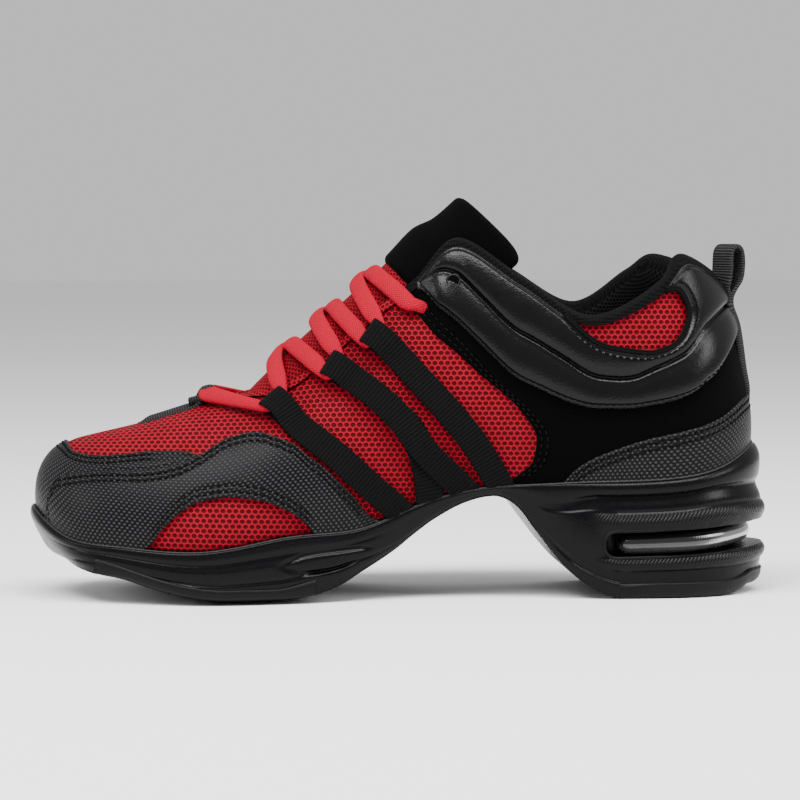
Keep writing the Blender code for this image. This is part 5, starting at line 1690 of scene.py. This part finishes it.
def build_collar():
    """Padded lining with the knit binding that turns over the collar and throat."""
    rows = np.linspace(-THROAT_END, THROAT_END, ROWS * 9 + 1)
    near = side_row(rows)
    pad = smoothstep(*COLLAR_PAD, near)[:, None]
    rise = unit(top_edge(rows) - wall(rows, np.full(len(rows), 0.95)))
    narrow = 1 - BINDING_NARROW * bell(near - BINDING_DIP, BINDING_SPAN)
    made = []
    for section in (ROLL, DEEP):
        index = np.linspace(0, len(section) - 1, 6 * (len(section) - 1) + 1)
        share, lift, up = [monotone(range(len(section)), column)(index) for column in zip(*section)]
        thin = np.where(lift < 0, np.maximum(lift * THIN_SHARE, THIN_MOST), lift)
        lifts = lift[None, :] * pad + thin[None, :] * (1 - pad)
        shares = share[None, :] + 0 * lifts
        coords = skin_mm(rows[:, None] + 0 * lifts, shares)
        coords[..., 1] -= lifts
        if section is ROLL:
            shares = np.where(index[None, :] < 1, 1 - (1 - shares) * narrow[:, None], shares)
        points = skin(rows[:, None] + 0 * lifts, shares, lifts)
        points += rise[:, None, :] * (up[None, :] * (ROLL_THIN + (1 - ROLL_THIN) * pad))[..., None]
        made.append((points, coords))
    (points, coords), (inner, inner_coords) = made
    lining = add("collar_lining", inner, grid_faces(*inner.shape[:2]), LINING, inner_coords, [], "black_knit")
    for name, kept, material, nodes in (
        ("collar_binding_knit", near <= KNIT_END, KNIT, ["collar_binding"]),
        ("throat_edge_lateral", rows >= KNIT_END, RED_FINE, []),
        ("throat_edge_medial", rows <= -KNIT_END, RED_FINE, []),
    ):
        faces = grid_faces(*points[kept].shape[:2])
        add(name, points[kept], faces, material, coords[kept], nodes, "black_knit")


def build_eyelets():
    """Rings on the collar panels, each over a flat black disc for the hole: painted shade over the black
    lining beneath.
    """
    turn = np.linspace(0, 2 * np.pi, 40, endpoint=False)[:, None]
    radius, lift = np.array(EYELET_RING).T[..., None]
    for side in SIDES:
        row = own(EYELET.row, side)
        out = facing(row, EYELET.share)
        seat = skin(row, EYELET.share, COLLAR_LIFT + collar_relief(np.array(row), EYELET.share) + EYELET_RISE)
        first = unit(np.cross(out, [0.0, 0.0, 1.0]))
        spokes = first * np.cos(turn) + np.cross(out, first) * np.sin(turn)
        points = seat + spokes[:, None] * radius + out * lift
        around_ring = turn * radius.T
        coords = np.stack([around_ring, radius.T + 0 * turn, 0 * around_ring], -1)
        faces = grid_faces(len(turn), len(EYELET_RING), closed=True, turn=True)
        add("eyelet_ring_" + side, points, faces, RING_METAL, coords, ["eyelet_" + side], "eyelet_metal")
        # Painted shade: a flat black disc at the seat stands for the hole's shaded depth and the black lining
        hole = seat + spokes * EYELET_HOLE
        face = tuple(range(len(turn)))[::-1]
        add("eyelet_hole_" + side, hole, [face], SUEDE, np.zeros(hole.shape), [], "suede")


STITCH = 1.75
STITCH_PITCH = 2.5
STITCH_RADIUS = 0.36
STITCH_SIDES = 6
STITCH_START = 0.4
StitchRing = namedtuple("StitchRing", "part size sink")
STITCH_RINGS = [
    StitchRing(0.0, 0.35, -0.25), StitchRing(0.2, 0.95, 0.0), StitchRing(0.8, 0.95, 0.0),
    StitchRing(1.0, 0.35, -0.25),
]
Sewing = namedtuple("Sewing", "name edges upper inset lift first last")
SEWINGS = [
    Sewing("heel_counter", HEEL_COUNTER, True, SEAM_PAIR, 1.55, 0.0, 3.3),
    Sewing("toe_cap", TOE_CAP, True, SEAM_PAIR, 1.05, 10.6, 13.0),
    Sewing("side_band_top", SIDE_BAND, True, SEAM_PAIR, 1.65, 7.9, 12.25),
    Sewing("side_band_arch", SIDE_BAND, False, SEAM_PAIR, 1.65, 8.72, 10.6),
    Sewing("collar_panel", COLLAR_PANEL, False, COLLAR_SEAM, COLLAR_LIFT - 0.15, 0.35, 5.9),
]
WINDOW_SEWING = 2.0
QUARTER_SEWN = (0.04, 0.95)
QUARTER_SUNK = 0.1


def stitch_shapes(path, normals):
    """Points, pattern coordinates and faces of short thread stitches at even steps along a path."""
    run = run_lengths(path)
    turn = np.linspace(0, 2 * np.pi, STITCH_SIDES, endpoint=False)
    points, coords, faces = [], [], []
    for start in np.arange(STITCH_START, run[-1] - STITCH, STITCH_PITCH):
        at = start + np.array([ring.part for ring in STITCH_RINGS]) * STITCH
        spots = np.stack([np.interp(at, run, column) for column in path.T], -1)
        ups = np.stack([np.interp(at, run, column) for column in normals.T], -1)
        along = unit(spots[-1] - spots[0])
        faces += tube_faces(len(STITCH_RINGS), STITCH_SIDES, len(points))
        for ring, spot, up, place in zip(STITCH_RINGS, spots, ups, at):
            across = np.cross(along, up)
            for angle in turn:
                spoke = across * math.cos(angle) + up * math.sin(angle)
                points.append(spot + spoke * STITCH_RADIUS * ring.size + up * ring.sink)
                coords.append((place, angle, 0.0))
    return points, coords, faces


def stitch_lines(side):
    """Rows, shares and lift of each line of stitches on a side."""
    lines = []
    for sewing in SEWINGS:
        low, high = edge_curves(sewing.edges)
        near = np.linspace(sewing.first, sewing.last, 160)
        rise = np.interp(near, ROUND_ROWS, ROUND_RISE)
        for inset in sewing.inset:
            share = high(near) - inset / rise if sewing.upper else low(near) + inset / rise
            padding = collar_relief(near, share) if sewing.edges is COLLAR_PANEL else 0.0
            lift = sewing.lift + padding * smoothstep(0.0, RELIEF_FADE, inset)
            lines.append((own(near, side), share, lift))
    near, share = beside_window(WINDOW_SEWING)
    lines.append((own(near, side), share, COLLAR_LIFT + collar_relief(near, share)))
    shares = np.linspace(*QUARTER_SEWN, 160)
    front = curve_of(QUARTER, "share", "front")(shares)
    for inset in SEAM_PAIR:
        lines.append((own(front - inset / ROW_PITCH, side), shares, QUARTER_LIFT - QUARTER_SUNK))
    return lines


def build_stitches():
    """Rows of thread along the panels' edges."""
    for side in SIDES:
        points, coords, faces = [], [], []
        for rows, share, lift in stitch_lines(side):
            made, place, around_stitch = stitch_shapes(skin(rows, share, lift), facing(rows, share))
            faces += [tuple(k + len(points) for k in face) for face in around_stitch]
            points += made
            coords += place
        add("stitches_" + side, points, faces, THREAD, coords, [], "webbing")


def build_lip():
    """Fine rough edge where the sole's lip meets the upper, coloured as a painted highlight."""
    rows = np.linspace(0, ROWS, ROWS * 12 + 1)
    path = FOOT(rows)[0] - inward(rows) * LIP_OUT + np.array([0.0, 0.0, LIP_UP])
    build_ribbon("sole_lip_edge", path, -inward(rows), LIP_SIZE, LIP_SIZE, 2, 6, LIP, [], "sole_rubber")


def build_window_edges():
    """Narrow black tape round the mesh window under the collar."""
    shares = np.array([mark.share for mark in WINDOW_EDGE])
    for side in SIDES:
        rows = np.array([own(mark.row, side) for mark in WINDOW_EDGE])
        path, where = smooth_path(skin(rows, shares, TAPE_LIFT), WINDOW_STEP)
        normals = between(facing(rows, shares), where)
        build_ribbon("collar_window_tape_" + side, path, normals, TAPE_WIDTH, TAPE_THICK, 3, 14, KNIT, [],
                     "black_knit")


def build_stage():
    """Pale floor, soft lights and the camera at the photograph's angle."""
    mesh = bpy.data.meshes.new("floor")
    reach = 6.0
    mesh.from_pydata([(-reach, -reach, 0), (reach, -reach, 0), (reach, reach, 0), (-reach, reach, 0)], [],
                     [(0, 1, 2, 3)])
    floor = bpy.data.objects.new("floor", mesh)
    bpy.context.scene.collection.objects.link(floor)
    pale = bpy.data.materials.new("pale_floor")
    pale.use_nodes = True
    shader = pale.node_tree.nodes["Principled BSDF"]
    shader.inputs["Base Color"].default_value = (0.9, 0.9, 0.9, 1.0)
    shader.inputs["Roughness"].default_value = 0.8
    mesh.materials.append(pale)

    world = bpy.data.worlds.new("studio")
    bpy.context.scene.world = world
    world.use_nodes = True
    sky = world.node_tree.nodes["Background"]
    sky.inputs["Color"].default_value = (1.0, 1.0, 1.0, 1.0)
    sky.inputs["Strength"].default_value = 0.7

    Lamp = namedtuple("Lamp", "name place aim length depth power")
    for lamp in (
        Lamp("key_light", (-0.5, -0.8, 1.1), (0, 0, 0.05), 0.6, 0.6, 10.0),
        Lamp("top_light", (0.0, -0.5, 1.25), (0, 0, 0.05), 1.8, 0.4, 44.0),
        Lamp("heel_light", (1.0, -0.35, 0.6), (0.05, 0, 0.06), 0.4, 0.4, 6.0),
        Lamp("toe_light", (-1.1, -0.2, 0.5), (-0.05, 0, 0.05), 0.4, 0.4, 4.0),
    ):
        data = bpy.data.lights.new(lamp.name, "AREA")
        data.shape = "RECTANGLE"
        data.size = lamp.length
        data.size_y = lamp.depth
        data.energy = lamp.power
        light = bpy.data.objects.new(lamp.name, data)
        light.location = lamp.place
        light.rotation_euler = (Vector(lamp.aim) - Vector(lamp.place)).to_track_quat("-Z", "Y").to_euler()
        bpy.context.scene.collection.objects.link(light)

    azimuth, elevation = math.radians(4.0), math.radians(3.0)
    distance = 1.25
    target = Vector((0.0, 0.0, 0.068))
    away = Vector((-math.sin(azimuth) * math.cos(elevation), -math.cos(azimuth) * math.cos(elevation),
                   math.sin(elevation)))
    data = bpy.data.cameras.new("camera")
    data.sensor_width = 36.0
    data.lens = 158.3
    camera = bpy.data.objects.new("camera", data)
    camera.location = target + away * distance
    camera.rotation_euler = (-away).to_track_quat("-Z", "Y").to_euler()
    bpy.context.scene.collection.objects.link(camera)
    bpy.context.scene.camera = camera


build_stage()
build_upper()
build_overlays()
build_straps()
build_lace()
build_strips()
build_tongue()
build_sole()
build_window_rim()
build_pads()
build_air_unit()
build_insole()
build_collar()
build_eyelets()
build_stitches()
build_window_edges()
build_lip()
